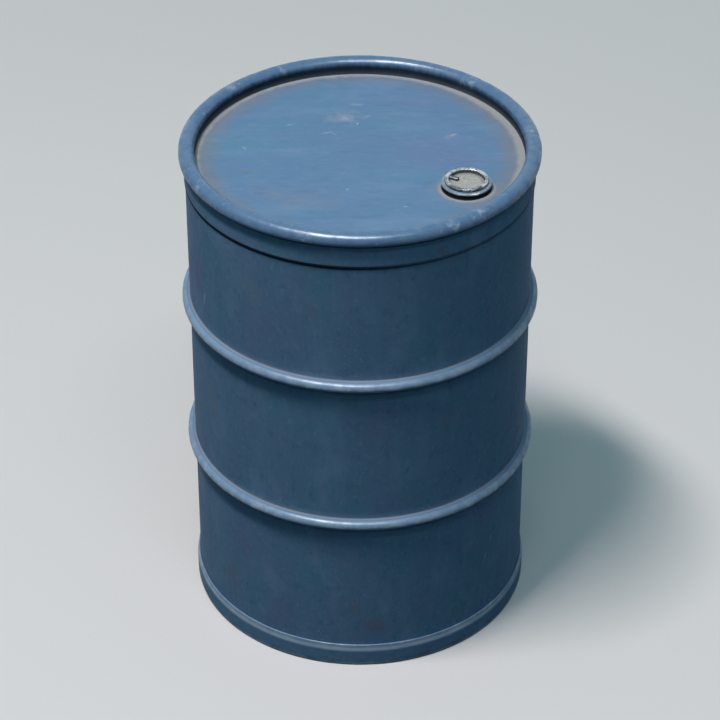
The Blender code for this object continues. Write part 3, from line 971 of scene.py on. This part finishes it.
def lug_mesh():
    """The bar at its place, with its foot sunk in the floor and its end in the recess wall."""
    bm = new_mesh()
    bmesh.ops.create_cube(bm, size=1.0)
    bmesh.ops.scale(bm, vec=(LUG_LENGTH, LUG_WIDTH, LUG_HEIGHT), verts=bm.verts)
    for vert in bm.verts:
        if vert.co.z > 0:
            vert.co.y *= LUG_TAPER
    bmesh.ops.bevel(bm, geom=bm.edges, offset=LUG_EDGE, segments=4, profile=0.5, affect="EDGES")
    edge = bm.verts.layers.float["edge"]
    reach = RECESS_RADIUS + LUG_SINK - LUG_LENGTH / 2
    place = Vector((BUNG.x, BUNG.y, RECESS_FLOOR - LUG_SINK + LUG_HEIGHT / 2))
    for vert in bm.verts:
        flatness = max(abs(c) / s for c, s in zip(vert.co, (LUG_LENGTH, LUG_WIDTH, LUG_HEIGHT))) * 2
        vert[edge] = 0.2 if flatness > 0.97 else 0.55
        x, y = vert.co.x + reach, vert.co.y
        vert.co = place + Vector((x * cos(LUG_ANGLE) - y * sin(LUG_ANGLE),
                                  x * sin(LUG_ANGLE) + y * cos(LUG_ANGLE), vert.co.z))
    return bm


print("wrench bar", LUG_LENGTH * 1000, "mm long")

# %% [markdown]
# All the painted pieces share one recipe, so it is written once. From the bottom up: mottled
# enamel, a film of dust on what faces up, paint rubbed pale where it is handled, grime in the
# creases with painted shade under ledges, scratches, and last the flecks of bare steel where edges
# have lost their paint. The enamel itself is matt with age. Only the rim and the hoops, which are
# gripped and rolled on, keep a gloss, and a clear coat whose weight follows the bends stands for it.

# %% Colours
WALL_TONES = ((90, 122, 153), (106, 137, 168), (66, 99, 131), (76, 124, 148), (97, 113, 150))
HEAD_TONES = ((99, 132, 165), (112, 143, 174), (87, 121, 153), (93, 136, 162), (107, 129, 163))
CLOSURE_TONES = ((104, 124, 137), (138, 156, 168), (60, 78, 90), (92, 121, 131), (110, 122, 137))
DUSTY_ENAMEL = screen_colour(104, 137, 170)
RUBBED_ENAMEL = screen_colour(160, 178, 193)
WASHED_ENAMEL = screen_colour(*WALL_TONES[1])
WASHED_DUST = screen_colour(120, 130, 140)
CREASE_DUST = screen_colour(150, 147, 148)
PALE_DIRT = screen_colour(142, 143, 151)
FILM_DIRT = screen_colour(138, 129, 122)
RING_DIRT = screen_colour(164, 164, 163)
# Near-black, used for painted shade under ledges, the rim's roll, the band's step and the insert's lip and at
# the foot of the boss, for soot with painted shade inside the rim, and to darken the foot's lowest edge.
DARK_GRIME_AND_SHADE = screen_colour(16, 22, 28)
RIM_TONE = screen_colour(68, 107, 144)
RUST = screen_colour(112, 84, 66)
SCUFF_PINK = screen_colour(150, 154, 176)
BARE_STEEL = screen_colour(196, 198, 196)
FLECK = screen_colour(172, 188, 198)
print("each of the three painted finishes mixes", len(WALL_TONES), "tones")

# %% The start of a material
UPRIGHT = (0.75, 0.3)


def start_material(name):
    """A new material, its shader's inputs, its object coordinates, and how far it faces up."""
    mat = bpy.data.materials.new(name)
    mat.use_nodes = True
    coords = add_node("ShaderNodeTexCoord", {}, mat.node_tree)
    up = split(Value(coords["Normal"]))[2]
    return mat, mat.node_tree.nodes["Principled BSDF"].inputs, Value(coords["Object"]), up


def mesh_value(mat, name):
    """A value that the mesh carries at each point."""
    return Value(add_node("ShaderNodeAttribute", {}, mat.node_tree, attribute_name=name)["Fac"])


def relief(height, strength, distance):
    """The normal of a surface with this relief."""
    inputs = {"Height": height, "Strength": strength, "Distance": distance}
    return Value(add_node("ShaderNodeBump", inputs)["Normal"])


def facing_sideways(up):
    """1 on upright faces, and 0 on level ones."""
    return abs(up).rise(*UPRIGHT)


print("a face counts as upright where its normal rises by less than", UPRIGHT[1])

# %% The recipe for painted steel
MATT_SPECULAR = 0.04
GLOSS_ROUGHNESS = 0.3
EVEN_GRAIN = (1.0, 1.0, 1.0)
HEAD_GRAIN = (0.35, 1.0, 1.0)
WALL_GRAIN = (1.0, 0.62, 0.0)
MOTTLE_AMOUNT = 0.8
HANDLED_SHARE = 0.45
SETTLED_SHARE = 0.7
SCRATCH_SHARE = 0.5
DUST_DULLS = 0.3
CLEAN_PAINT_ROUGHNESS = 0.6
DULL_ROUGHENS = 0.35
PAINT_RELIEF = (0.5, 0.0005)


def painted_steel(name, tones, grain=None, scale=13.0, dust=0.85, wear=0.3, rubbed=0.5, chips=60.0,
                  grime=1.0, dirt=WASHED_DUST, worn_from=0.0, worn_to=1.0, extra=None):
    """Enamel with dust, grime, painted shade in creases under ledges, scratches and worn edges.

    grain stretches the mottling along the drum's own axes; without it the mottling follows the
    unrolled wall. Edges are worn between two heights. extra(place, flow, colour, dull, up) adds
    the marks of one piece, and flow is the unrolled place.
    """
    mat, shader, place, up = start_material(name)
    flow = unrolled_wall(Vector=place)
    base = place if grain else flow
    height = split(place)[2]
    edge = mesh_value(mat, "edge") * (height > worn_from) * (height < worn_to)
    paint = {label: screen_colour(*tone) for label, tone in zip(COLOURS, tones)}
    colour = mottled_paint(Vector=stretched(base, grain or WALL_GRAIN), Scale=scale,
                           Amount=MOTTLE_AMOUNT, **paint)
    film, uneven = settled_dust(Vector=place, Up=up, Amount=dust)
    bare, rub, handled = edge_wear(Vector=place, Edge=edge, Scale=chips, Amount=wear)
    pale = (handled * uneven * (rubbed * HANDLED_SHARE) + rub * rubbed).clamp()
    crease = mesh_value(mat, "crease")
    grimy, settled, crease_shade = crease_grime_and_shade(Vector=place, Crease=crease, Up=up, Amount=grime)
    scratches = fine_scratches(Vector=base)
    # The dark crease layer is painted shade under ledges.
    colour = lay(colour, (film, DUSTY_ENAMEL), (pale, RUBBED_ENAMEL), (settled * SETTLED_SHARE, dirt),
                 (crease_shade, DARK_GRIME_AND_SHADE), (scratches * SCRATCH_SHARE, RUBBED_ENAMEL))
    dull = (film * DUST_DULLS + grimy).clamp()
    if extra:
        colour, dull = extra(place, flow, colour, dull, up)
    clean = (up.rise(-0.35, 0.1) - dull).clamp()
    ripple = noise_value(place, 45.0, 3.0, 0.5)
    connect_all({
        "Base Color": mix_colour(bare, colour, BARE_STEEL), "Metallic": bare,
        "Specular IOR Level": MATT_SPECULAR, "Roughness": dull * DULL_ROUGHENS + CLEAN_PAINT_ROUGHNESS,
        "Coat Weight": handled * clean, "Coat Roughness": GLOSS_ROUGHNESS,
        "Normal": relief(ripple * 0.8 - bare, *PAINT_RELIEF),
    }, shader)
    return mat


print("clean paint has a roughness of", CLEAN_PAINT_ROUGHNESS, "and its gloss", GLOSS_ROUGHNESS)

# %% Single marks, and layers that dull the paint
def add_scuffs(vector, colour, where, marks):
    """Scuffs at their places: two numbers for where, a turn, length, width, colour and strength."""
    for a, b, degrees, length, width, tint, strength in marks:
        mask = scuff_mark(Vector=vector, Place=where(a, b), Angle=-radians(degrees), Length=length,
                          Width=width)
        colour = mix_colour(mask * strength, colour, tint)
    return colour


def add_layers(colour, dull, *layers):
    """Layers laid over the paint that dull it too."""
    for share, _ in layers:
        dull = (dull + share).clamp()
    return lay(colour, *layers), dull


print("scuffs and layers go over the enamel, and layers take its gloss")

# %% [markdown]
# The sunk head collects rain and dust. A pale line has dried at the foot of its wall, with a thin
# film inside it that is widest at the sides, and another line round the closure, where water
# stands longest. A few nicks and one broad pinkish scuff show where things were dropped on it.

# %% Places of the head's marks
HEAD_MARKS = (
    (-0.030, 0.122, 10, 0.042, 0.026, SCUFF_PINK, 0.34), (-0.022, 0.118, -20, 0.020, 0.012, FLECK, 0.30),
    (-0.004, 0.103, 75, 0.0045, 0.0022, FLECK, 0.65), (-0.052, 0.073, 15, 0.014, 0.003, FLECK, 0.32),
    (-0.043, 0.068, -35, 0.007, 0.002, FLECK, 0.36), (-0.117, 0.098, 20, 0.007, 0.003, FLECK, 0.29),
    (0.155, 0.066, 35, 0.008, 0.0022, FLECK, 0.68), (0.150, 0.062, 50, 0.018, 0.008, SCUFF_PINK, 0.40),
    (-0.006, 0.165, -5, 0.016, 0.006, FLECK, 0.22), (0.012, 0.126, 30, 0.012, 0.003, FLECK, 0.25),
    (-0.190, 0.022, -50, 0.007, 0.004, FLECK, 0.36), (-0.020, -0.108, 30, 0.006, 0.0022, FLECK, 0.50),
    (0.072, -0.160, -20, 0.007, 0.0022, FLECK, 0.43), (-0.185, -0.050, 0, 0.020, 0.012, WASHED_DUST, 0.35),
    (-0.085, -0.150, 8, 0.080, 0.040, PALE_DIRT, 0.15), (-0.135, -0.120, -20, 0.060, 0.030, PALE_DIRT, 0.12),
    (0.058, 0.120, 0, 0.030, 0.012, PALE_DIRT, 0.10),
)
RIM_CLUSTERS = (
    (-49, 0.040), (-60, 0.016), (6, 0.030), (47, 0.026), (-107, 0.018), (-152, 0.016), (140, 0.026),
    (118, 0.014),
)
CLUSTER_WIDTH = 0.03
HALO = ((0.006, 0.024, 0.3, PALE_DIRT), (0.003, 0.0085, 0.9, RING_DIRT))
BUNG_AXIS = (BUNG.x, BUNG.y, 0.0)
UPPER_RIM = PANEL_TOP + 0.012
RIM_UNDERSIDE = ROLL_HEIGHT - 0.004
# How dark the painted shade is under the rim's roll and round the foot of the boss.
UNDERSIDE_SHADE = 0.93


def on_head(x, y):
    """A place on the panel."""
    return x, y, PANEL_TOP


print("the head has", len(HEAD_MARKS), "marks, and its rim", len(RIM_CLUSTERS), "clusters of chips")

# %% Dirt, chips and painted shade on the head
def edge_dirt(place, flow):
    """Dirt that dried along the edge of the panel, ragged in streaks towards its middle."""
    side = split(place)[0]
    gap = HEAD_WALL - split(flow)[2] - side.rise(0.05, 0.25) * 0.006
    swing = noise_value(flow, 55.0, 6.0, 0.65, (1.0, 1.0, 0.22)) - 0.5
    line = (gap + swing * 0.012).rise(0.013, 0.002) * 0.85
    reach = abs(side).rise(0.08, 0.24) * 0.2 + 0.28
    return line, (gap + swing * 0.05).rise(0.050, 0.004) * reach


def rim_flecks(place, flow):
    """Small pale chips in the paint of the rim, close together where it was knocked."""
    cluster = 0.0
    for degrees, length in RIM_CLUSTERS:
        spot = (radians(degrees) * BODY_RADIUS, ROLL_HEIGHT, 0.0)
        mask = scuff_mark(Vector=flow, Place=spot, Length=length, Width=CLUSTER_WIDTH)
        cluster = maths("MAXIMUM", cluster, mask)
    return (noise_value(place, 72.0, 6.0, 0.68) + cluster * 0.13).rise(0.57, 0.8)


def inner_grime_and_shade(flow, height, inner):
    """Soot and painted shade on the wall inside the rim, in runs from above, and dust at its foot."""
    limit = height + noise_value(flow, 75.0, 4.0, 0.6, (1.0, 0.12, 0.3)) * 0.018
    streaks = noise_value(flow, 24.0, 5.0, 0.6, (1.0, 0.25, 1.0))
    deeper = height.rise(PANEL_TOP + 0.022, PANEL_TOP + 0.008) * 0.2
    uneven = streaks * 0.2 + 0.64 + deeper
    soot_and_shade = (inner * limit.rise(DRUM_HEIGHT + 0.008, DRUM_HEIGHT - 0.005) * uneven).clamp()
    return soot_and_shade, inner * height.rise(PANEL_TOP + 0.012, PANEL_TOP + 0.001) * 0.24


def head_marks(place, flow, colour, dull, up):
    """The dried dirt, the nicks, soot with painted shade on the wall inside the rim, and painted shade under
    the rim's roll and at the foot of the boss.
    """
    _, y, height = split(place)
    radius = split(flow)[2]
    level = up.rise(0.5, 0.9) * (height < UPPER_RIM)
    high = height > UPPER_RIM
    line, film = edge_dirt(place, flow)
    colour, dull = add_layers(colour, dull, (film * level, FILM_DIRT), (line * level, RING_DIRT))
    to_front = y.rise(BUNG.y + 0.045, BUNG.y - 0.02)
    for start, width, strength, tint in HALO:
        ring = dirt_ring(Vector=place, Centre=BUNG_AXIS, Radius=BOSS_RADIUS + start, Width=width,
                         Ragged=0.35, Scale=70.0)
        colour, dull = add_layers(colour, dull, (ring * strength * to_front * level, tint))
    colour = mix_colour(high * 0.8, colour, RIM_TONE)
    colour = add_scuffs(place, colour, on_head, HEAD_MARKS)
    # The wall inside the rim gets soot with painted shade, darkest low down.
    inner = facing_sideways(up) * (radius < ROLL_CENTRE)
    soot_and_shade, settled = inner_grime_and_shade(flow, height, inner)
    colour = lay(colour, (rim_flecks(place, flow) * high * 0.5, FLECK), (soot_and_shade, DARK_GRIME_AND_SHADE),
                 (settled, PALE_DIRT))
    # Painted shade under the roll of the rim and at the foot of the boss, where the roll and the lip
    # overhang.
    below = height.rise(RIM_UNDERSIDE, RIM_UNDERSIDE - 0.004) * (radius > ROLL_CENTRE)
    boss = distance_from_axis(Vector=place, Centre=BUNG_AXIS).rise(BOSS_RADIUS + 0.0026, BOSS_RADIUS + 0.001)
    return add_layers(colour, dull, (below * UNDERSIDE_SHADE, DARK_GRIME_AND_SHADE), (boss * UNDERSIDE_SHADE, DARK_GRIME_AND_SHADE))


print("dirt round the closure lies in", len(HALO), "rings")

# %% [markdown]
# On the wall, rain has washed the dust down in faint streaks. It carries fine pale specks in
# loose swarms, a few long scratches, and rust stains low down. Under the rim, where the sheet steps
# out, a dark line is painted as the shadow of the step, strongest on the left. The foot has the same
# weather on its upright faces, a lowest band that darkens towards its bottom edge, and dried dirt on its
# underside.

# %% The marks and painted shade of the wall, the foot and the closure
WALL_MARKS = (
    (-152.5, 0.654, 80, 0.020, 0.003, FLECK, 0.4), (-41.1, 0.159, 70, 0.016, 0.003, FLECK, 0.35),
    (-38.5, 0.190, 80, 0.012, 0.002, FLECK, 0.35), (-150.0, 0.470, 20, 0.030, 0.050, WASHED_DUST, 0.25),
    (-128.0, 0.740, 60, 0.030, 0.050, WASHED_DUST, 0.22), (-58.0, 0.500, 70, 0.030, 0.040, WASHED_DUST, 0.16),
    (-64.0, 0.828, 0, 0.012, 0.010, RUST, 0.3), (-105.0, 0.720, 0, 0.016, 0.020, RUST, 0.14),
    (-85.0, 0.082, 0, 0.024, 0.030, RUST, 0.28), (-92.0, 0.120, 0, 0.014, 0.022, RUST, 0.22),
    (-140.0, 0.110, 0, 0.030, 0.040, RUST, 0.16),
)


def on_wall(degrees, height):
    """A place on the unrolled wall."""
    return radians(degrees) * BODY_RADIUS, height, 0.0


def weathered(place, flow, colour, upright=1.0):
    """Washed streaks and pale specks, both on upright faces alone where a mask for those is given."""
    washed, specks = weather(Vector=place, Unrolled=flow)
    return lay(colour, (washed * upright, WASHED_ENAMEL), (specks * upright, FLECK))


def wall_marks(place, flow, colour, dull, up):
    """Streaks, specks, the painted shadow line under the rim, rust stains and light scratches."""
    colour = weathered(place, flow, colour)
    # A dark line painted below the band's step as its shadow, strongest on the left.
    from_band = abs(split(flow)[1] - BAND_EDGE)
    to_left = split(place)[0].rise(0.18, -0.05)
    line = from_band.rise(0.0052, 0.0026) * (to_left * 0.6 + 0.3)
    colour, dull = add_layers(colour, dull, (line, DARK_GRIME_AND_SHADE))
    return add_scuffs(flow, colour, on_wall, WALL_MARKS), dull


def foot_marks(place, flow, colour, dull, up):
    """The foot's shoulder, rubbed pale where other drums knock it, its lowest band darker towards the bottom
    edge, and dirt on its underside.
    """
    height = split(place)[2]
    patches = noise_value(place, 28.0, 5.0, 0.65)
    shoulder = height.rise(CHIME_HEIGHT - 0.001, CHIME_HEIGHT + 0.002)
    shoulder = shoulder * height.rise(CHIME_HEIGHT + 0.009, CHIME_HEIGHT + 0.004) * (patches + 0.3)
    # The lowest band is darkened towards its bottom edge.
    edge = (height + patches * 0.030).rise(0.027, 0.012) * 0.6
    colour = lay(colour, (shoulder.clamp(), RUBBED_ENAMEL), (edge, DARK_GRIME_AND_SHADE))
    below = up.rise(-0.5, -0.9) * patches.rise(0.4, 0.65) * 0.55
    colour, dull = add_layers(colour, dull, (below, FILM_DIRT))
    return weathered(place, flow, colour, facing_sideways(up)), dull


def closure_marks(place, flow, colour, dull, up):
    """Painted shade that darkens the underside of the insert's lip."""
    # Painted shade under the overhanging lip.
    below = split(place)[2].rise(LIP_BOTTOM + 0.0018, LIP_BOTTOM + 0.0004)
    return mix_colour(below * 0.9, colour, DARK_GRIME_AND_SHADE), dull


print("the wall has", len(WALL_MARKS), "marks of its own")

# %% The four painted finishes
WALL_PAINT = painted_steel("wall enamel", WALL_TONES, wear=0.42, rubbed=0.62, dirt=CREASE_DUST,
                           worn_to=BAND_EDGE - 0.01, extra=wall_marks)
HEAD_PAINT = painted_steel("head enamel", HEAD_TONES, HEAD_GRAIN, dust=0.0, rubbed=0.06, grime=0.5,
                           dirt=PALE_DIRT, worn_from=RIM_UNDERSIDE, extra=head_marks)
FOOT_PAINT = painted_steel("foot enamel", WALL_TONES, EVEN_GRAIN, dust=0.9, wear=0.2, grime=0.6,
                           extra=foot_marks)
FLANGE_PAINT = painted_steel("closure enamel", CLOSURE_TONES, EVEN_GRAIN, 60.0, dust=0.0, rubbed=0.4,
                             chips=220.0, grime=0.8, extra=closure_marks)
print("painted materials:", WALL_PAINT.name, HEAD_PAINT.name, FOOT_PAINT.name, FLANGE_PAINT.name)

# %% [markdown]
# The plug never had much paint. Its rim is rubbed bright by wrenches and hands, its side keeps a
# film of old blue, and its recess holds dried mud with a rusty border. The upright faces in the
# recess, its wall and the sides of the wrench bar, are painted dark as shade. Its thread is plain dull steel.

# %% The plug's steel
STEEL = screen_colour(118, 134, 141)
STEEL_DARK = screen_colour(56, 72, 80)
STEEL_BRIGHT = screen_colour(208, 218, 222)
OLD_BLUE = screen_colour(72, 94, 106)
MUD = screen_colour(146, 146, 141)
MUD_PALE = screen_colour(172, 174, 171)
MUD_BROWN = screen_colour(112, 98, 86)
MUD_DOTS = screen_colour(52, 42, 36)
RECESS_SHADE = screen_colour(30, 33, 33)
PLUG_RELIEF = (0.6, 0.0005)


def dried_mud_and_shade(place, far, grain, up):
    """The colour of what has dried in the recess, with painted shade on its upright faces."""
    mud = mix_colour(grain.rise(0.38, 0.62), MUD, MUD_PALE)
    border = far.rise(RECESS_RADIUS - 0.009, RECESS_RADIUS)
    dots = noise_value(place, 420.0, 3.0, 0.6).rise(0.66, 0.70)
    # Upright faces in the recess are painted dark as shade.
    upright = abs(up).rise(0.8, 0.35)
    return lay(mud, (border * 0.6, MUD_BROWN), (dots * 0.8, MUD_DOTS), (upright * 0.9, RECESS_SHADE))


def worn_plug():
    """Dull steel, rubbed bright on its edges, with mud in the recess but not on the bar's top."""
    mat, shader, place, up = start_material("worn plug steel")
    height = split(place)[2]
    far = distance_from_axis(Vector=place, Centre=BUNG_AXIS)
    above = height > RECESS_FLOOR - 0.001
    side = far.rise(PLUG_RIM - 0.0012, PLUG_RIM - 0.0003) * above
    inside = far.rise(RECESS_RADIUS + 0.0005, RECESS_RADIUS - 0.0003)
    low = height.rise(RIM_TOP - 0.0012, RIM_TOP - 0.0024)
    bar_top = height.rise(RECESS_FLOOR + 0.0036, RECESS_FLOOR + 0.0044) * (far < RECESS_RADIUS - 0.0004)
    mud_and_shade = (inside * low * above - bar_top).clamp()
    clean = 1.0 - mud_and_shade
    bare, _, _ = edge_wear(Vector=place, Edge=mesh_value(mat, "edge"), Scale=380.0, Amount=0.43)
    bright = bare * clean
    cloud = noise_value(place, 170.0, 5.0, 0.65)
    grain = noise_value(place, 260.0, 6.0, 0.7)
    colour = mix_colour(cloud.rise(0.42, 0.66), STEEL, STEEL_DARK)
    connect_all({
        "Base Color": lay(colour, (side * 0.8, OLD_BLUE), (mud_and_shade, dried_mud_and_shade(place, far, grain, up)),
                          (bright, STEEL_BRIGHT)),
        "Metallic": (clean - side * 0.6).clamp() * 0.9,
        "Roughness": mud_and_shade * 0.4 + 0.4 - bright * 0.14,
        "Normal": relief(grain * (mud_and_shade * 0.7 + 0.3), *PLUG_RELIEF),
    }, shader)
    return mat


PLUG_STEEL = worn_plug()
print("made", PLUG_STEEL.name)

# %% [markdown]
# The gaskets are black moulded rubber, grey with dust where they show, and the seams are closed
# with a dark compound that stays slightly soft. Both need only their dust and a little grain.

# %% Rubber and seam compound
SOFT_RELIEF = (0.3, 0.0003)


def soft_black(name, dark, pale, scale, roughness):
    """A soft black material with a little dust and grain."""
    mat, shader, place, _ = start_material(name)
    cloud = noise_value(place, scale, 5.0, 0.65)
    dusty = cloud.rise(0.45, 0.75) * 0.6
    connect_all({
        "Base Color": mix_colour(dusty, screen_colour(*dark), screen_colour(*pale)),
        "Roughness": roughness, "Normal": relief(cloud, *SOFT_RELIEF),
    }, shader)
    return mat


RUBBER = soft_black("black rubber", (26, 26, 27), (58, 58, 57), 180.0, 0.75)
COMPOUND = soft_black("sealing compound", (52, 50, 47), (84, 80, 74), 120.0, 0.6)
print("made", RUBBER.name, "and", COMPOUND.name)

# %% [markdown]
# The pieces are now built, each in the place of its solid in the frame. The gaskets and the seam
# compounds are hardly seen, so they keep their solids and only get their material.

# %% Turning a sheet
def bung_centre(r):
    """The axis of the closure."""
    return BUNG.x, BUNG.y


def turned_sheet(name, path, angles, mat, node, **turning):
    """A sheet that follows a path, turned about the drum's axis."""
    bm = turned_mesh(sheet_section(path, SHEET), angles, **turning)
    finish_piece(name, bm, mat, "drum", node)


print("sheets are turned about the drum's axis, and the closure about", bung_centre(0.0))

# %% The pieces
turned_sheet("wall", wall_path(), DRUM_ANGLES, WALL_PAINT, "body_shell", push=wall_push)
turned_sheet("head", head_path(), DRUM_ANGLES, HEAD_PAINT, "top_head", centre_of=head_centre, push=head_push)
turned_sheet("foot", foot_path(), turn_angles(FOOT_STEPS), FOOT_PAINT, "bottom_head", capped=True)
insert = turned_mesh(flange_section(), BUNG_ANGLES, bung_centre, FLANGE_THREAD)
finish_piece("insert", insert, FLANGE_PAINT, "drum", "bung_flange")
plug = turned_mesh(plug_section(), BUNG_ANGLES, bung_centre, plug_push, capped=True)
finish_piece("plug", plug, PLUG_STEEL, "plug", "bung_plug")
finish_piece("wrench_bar", lug_mesh(), PLUG_STEEL, "plug")

# %% Gaskets and compounds keep their solids
for node, mat in (("bung_flange_gasket", RUBBER), ("bung_plug_gasket", RUBBER),
                  ("top_seam_compound", COMPOUND), ("bottom_seam_compound", COMPOUND)):
    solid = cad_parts[node]
    solid.data.materials.clear()
    solid.data.materials.append(mat)
    print(node, "carries", mat.name)

# %% [markdown]
# The drum stands on a pale, matt, plain floor. The key lamp is high on the left, so that the head
# is bright, the wall much darker, and each hoop throws a shadow on the wall below it. A weaker,
# cooler strip lamp in front fills the shaded side. A third lamp shows in reflections alone, as the
# gloss along the rim and the hoops. The rest of the room is dim. Only the camera, glossy
# reflections and clear pieces see the pale surroundings, and far off the floor fades into them.

# %% Floor, lamps and surroundings
FLOOR_SIZE = 60.0
FLOOR_SHADE = (0.77, 0.745, 0.74, 1.0)
FLOOR_BOUNCE = (0.02, 0.03, 0.035, 1.0)
FLOOR_ROUGHNESS = 0.9
ROOM_SHADE = (0.74, 0.75, 0.76, 1.0)
DIM_SHADE = (0.12, 0.22, 0.25, 1.0)
BLACK = (0.0, 0.0, 0.0, 1.0)
FAR_FLOOR = (1.8, 6.5)
LAMPS = {
    "key": {"azimuth": -54, "elevation": 71, "distance": 8.0, "size": (2.4, 0.8), "watts": 455.0,
            "colour": (1.0, 0.93, 0.91)},
    "front": {"azimuth": 10, "elevation": 62, "distance": 5.0, "size": (2.0, 0.35), "watts": 30.0,
              "colour": (0.8, 0.92, 1.0)},
    "glint": {"azimuth": -18, "elevation": 64, "distance": 5.0, "size": (2.4, 1.6), "watts": 290.0,
              "colour": (0.9, 0.96, 1.0), "gloss_only": True},
}


def seen_or_not(tree, seen, unseen):
    """One colour for the camera, for reflections and for what shows through, another for the light."""
    path = add_node("ShaderNodeLightPath", {}, tree)
    shows = Value(path["Is Camera Ray"])
    for kind in ("Is Glossy Ray", "Is Transmission Ray"):
        shows = maths("MAXIMUM", shows, Value(path[kind]))
    return mix_colour(shows, unseen, seen)


def add_floor():
    """A large plain floor, which fades into the backdrop far from the drum."""
    bm = bmesh.new()
    bmesh.ops.create_grid(bm, x_segments=1, y_segments=1, size=FLOOR_SIZE / 2)
    mat, shader, place, _ = start_material("floor")
    far = distance_from_axis(Vector=place, Centre=(0.0, 0.0, 0.0)).rise(*FAR_FLOOR)
    near = seen_or_not(mat.node_tree, FLOOR_SHADE, FLOOR_BOUNCE)
    glow = seen_or_not(mat.node_tree, ROOM_SHADE, BLACK)
    connect_all({
        "Base Color": mix_colour(far, near, BLACK), "Emission Color": mix_colour(far, BLACK, glow),
        "Emission Strength": 1.0, "Roughness": FLOOR_ROUGHNESS, "Specular IOR Level": 0.0,
    }, shader)
    obj = mesh_object("floor", bm, mat)


def add_lamp(name, azimuth, elevation, distance, size, watts, colour, gloss_only=False):
    """A flat lamp that faces the drum; azimuth 0 is towards the camera, and positive to the right."""
    data = bpy.data.lights.new(name, "AREA")
    data.shape = "RECTANGLE"
    data.size, data.size_y = size
    data.energy = watts
    data.color = colour
    across, high = radians(azimuth), radians(elevation)
    way = Vector((cos(high) * sin(across), -cos(high) * cos(across), sin(high)))
    lamp = add_object(name, data)
    lamp.location = aim + way * distance
    lamp.rotation_euler = way.to_track_quat("Z", "Y").to_euler()
    lamp.visible_diffuse = not gloss_only
    print(name, "lamp of", watts, "W")


print("the floor has faded into the backdrop", FAR_FLOOR[1], "m from the drum")

# %% The stage
add_floor()
for name, values in LAMPS.items():
    add_lamp(name, **values)
world = bpy.data.worlds.new("room")
bpy.context.scene.world = world
world.use_nodes = True
background = world.node_tree.nodes["Background"].inputs["Color"]
connect(seen_or_not(world.node_tree, ROOM_SHADE, DIM_SHADE), background)
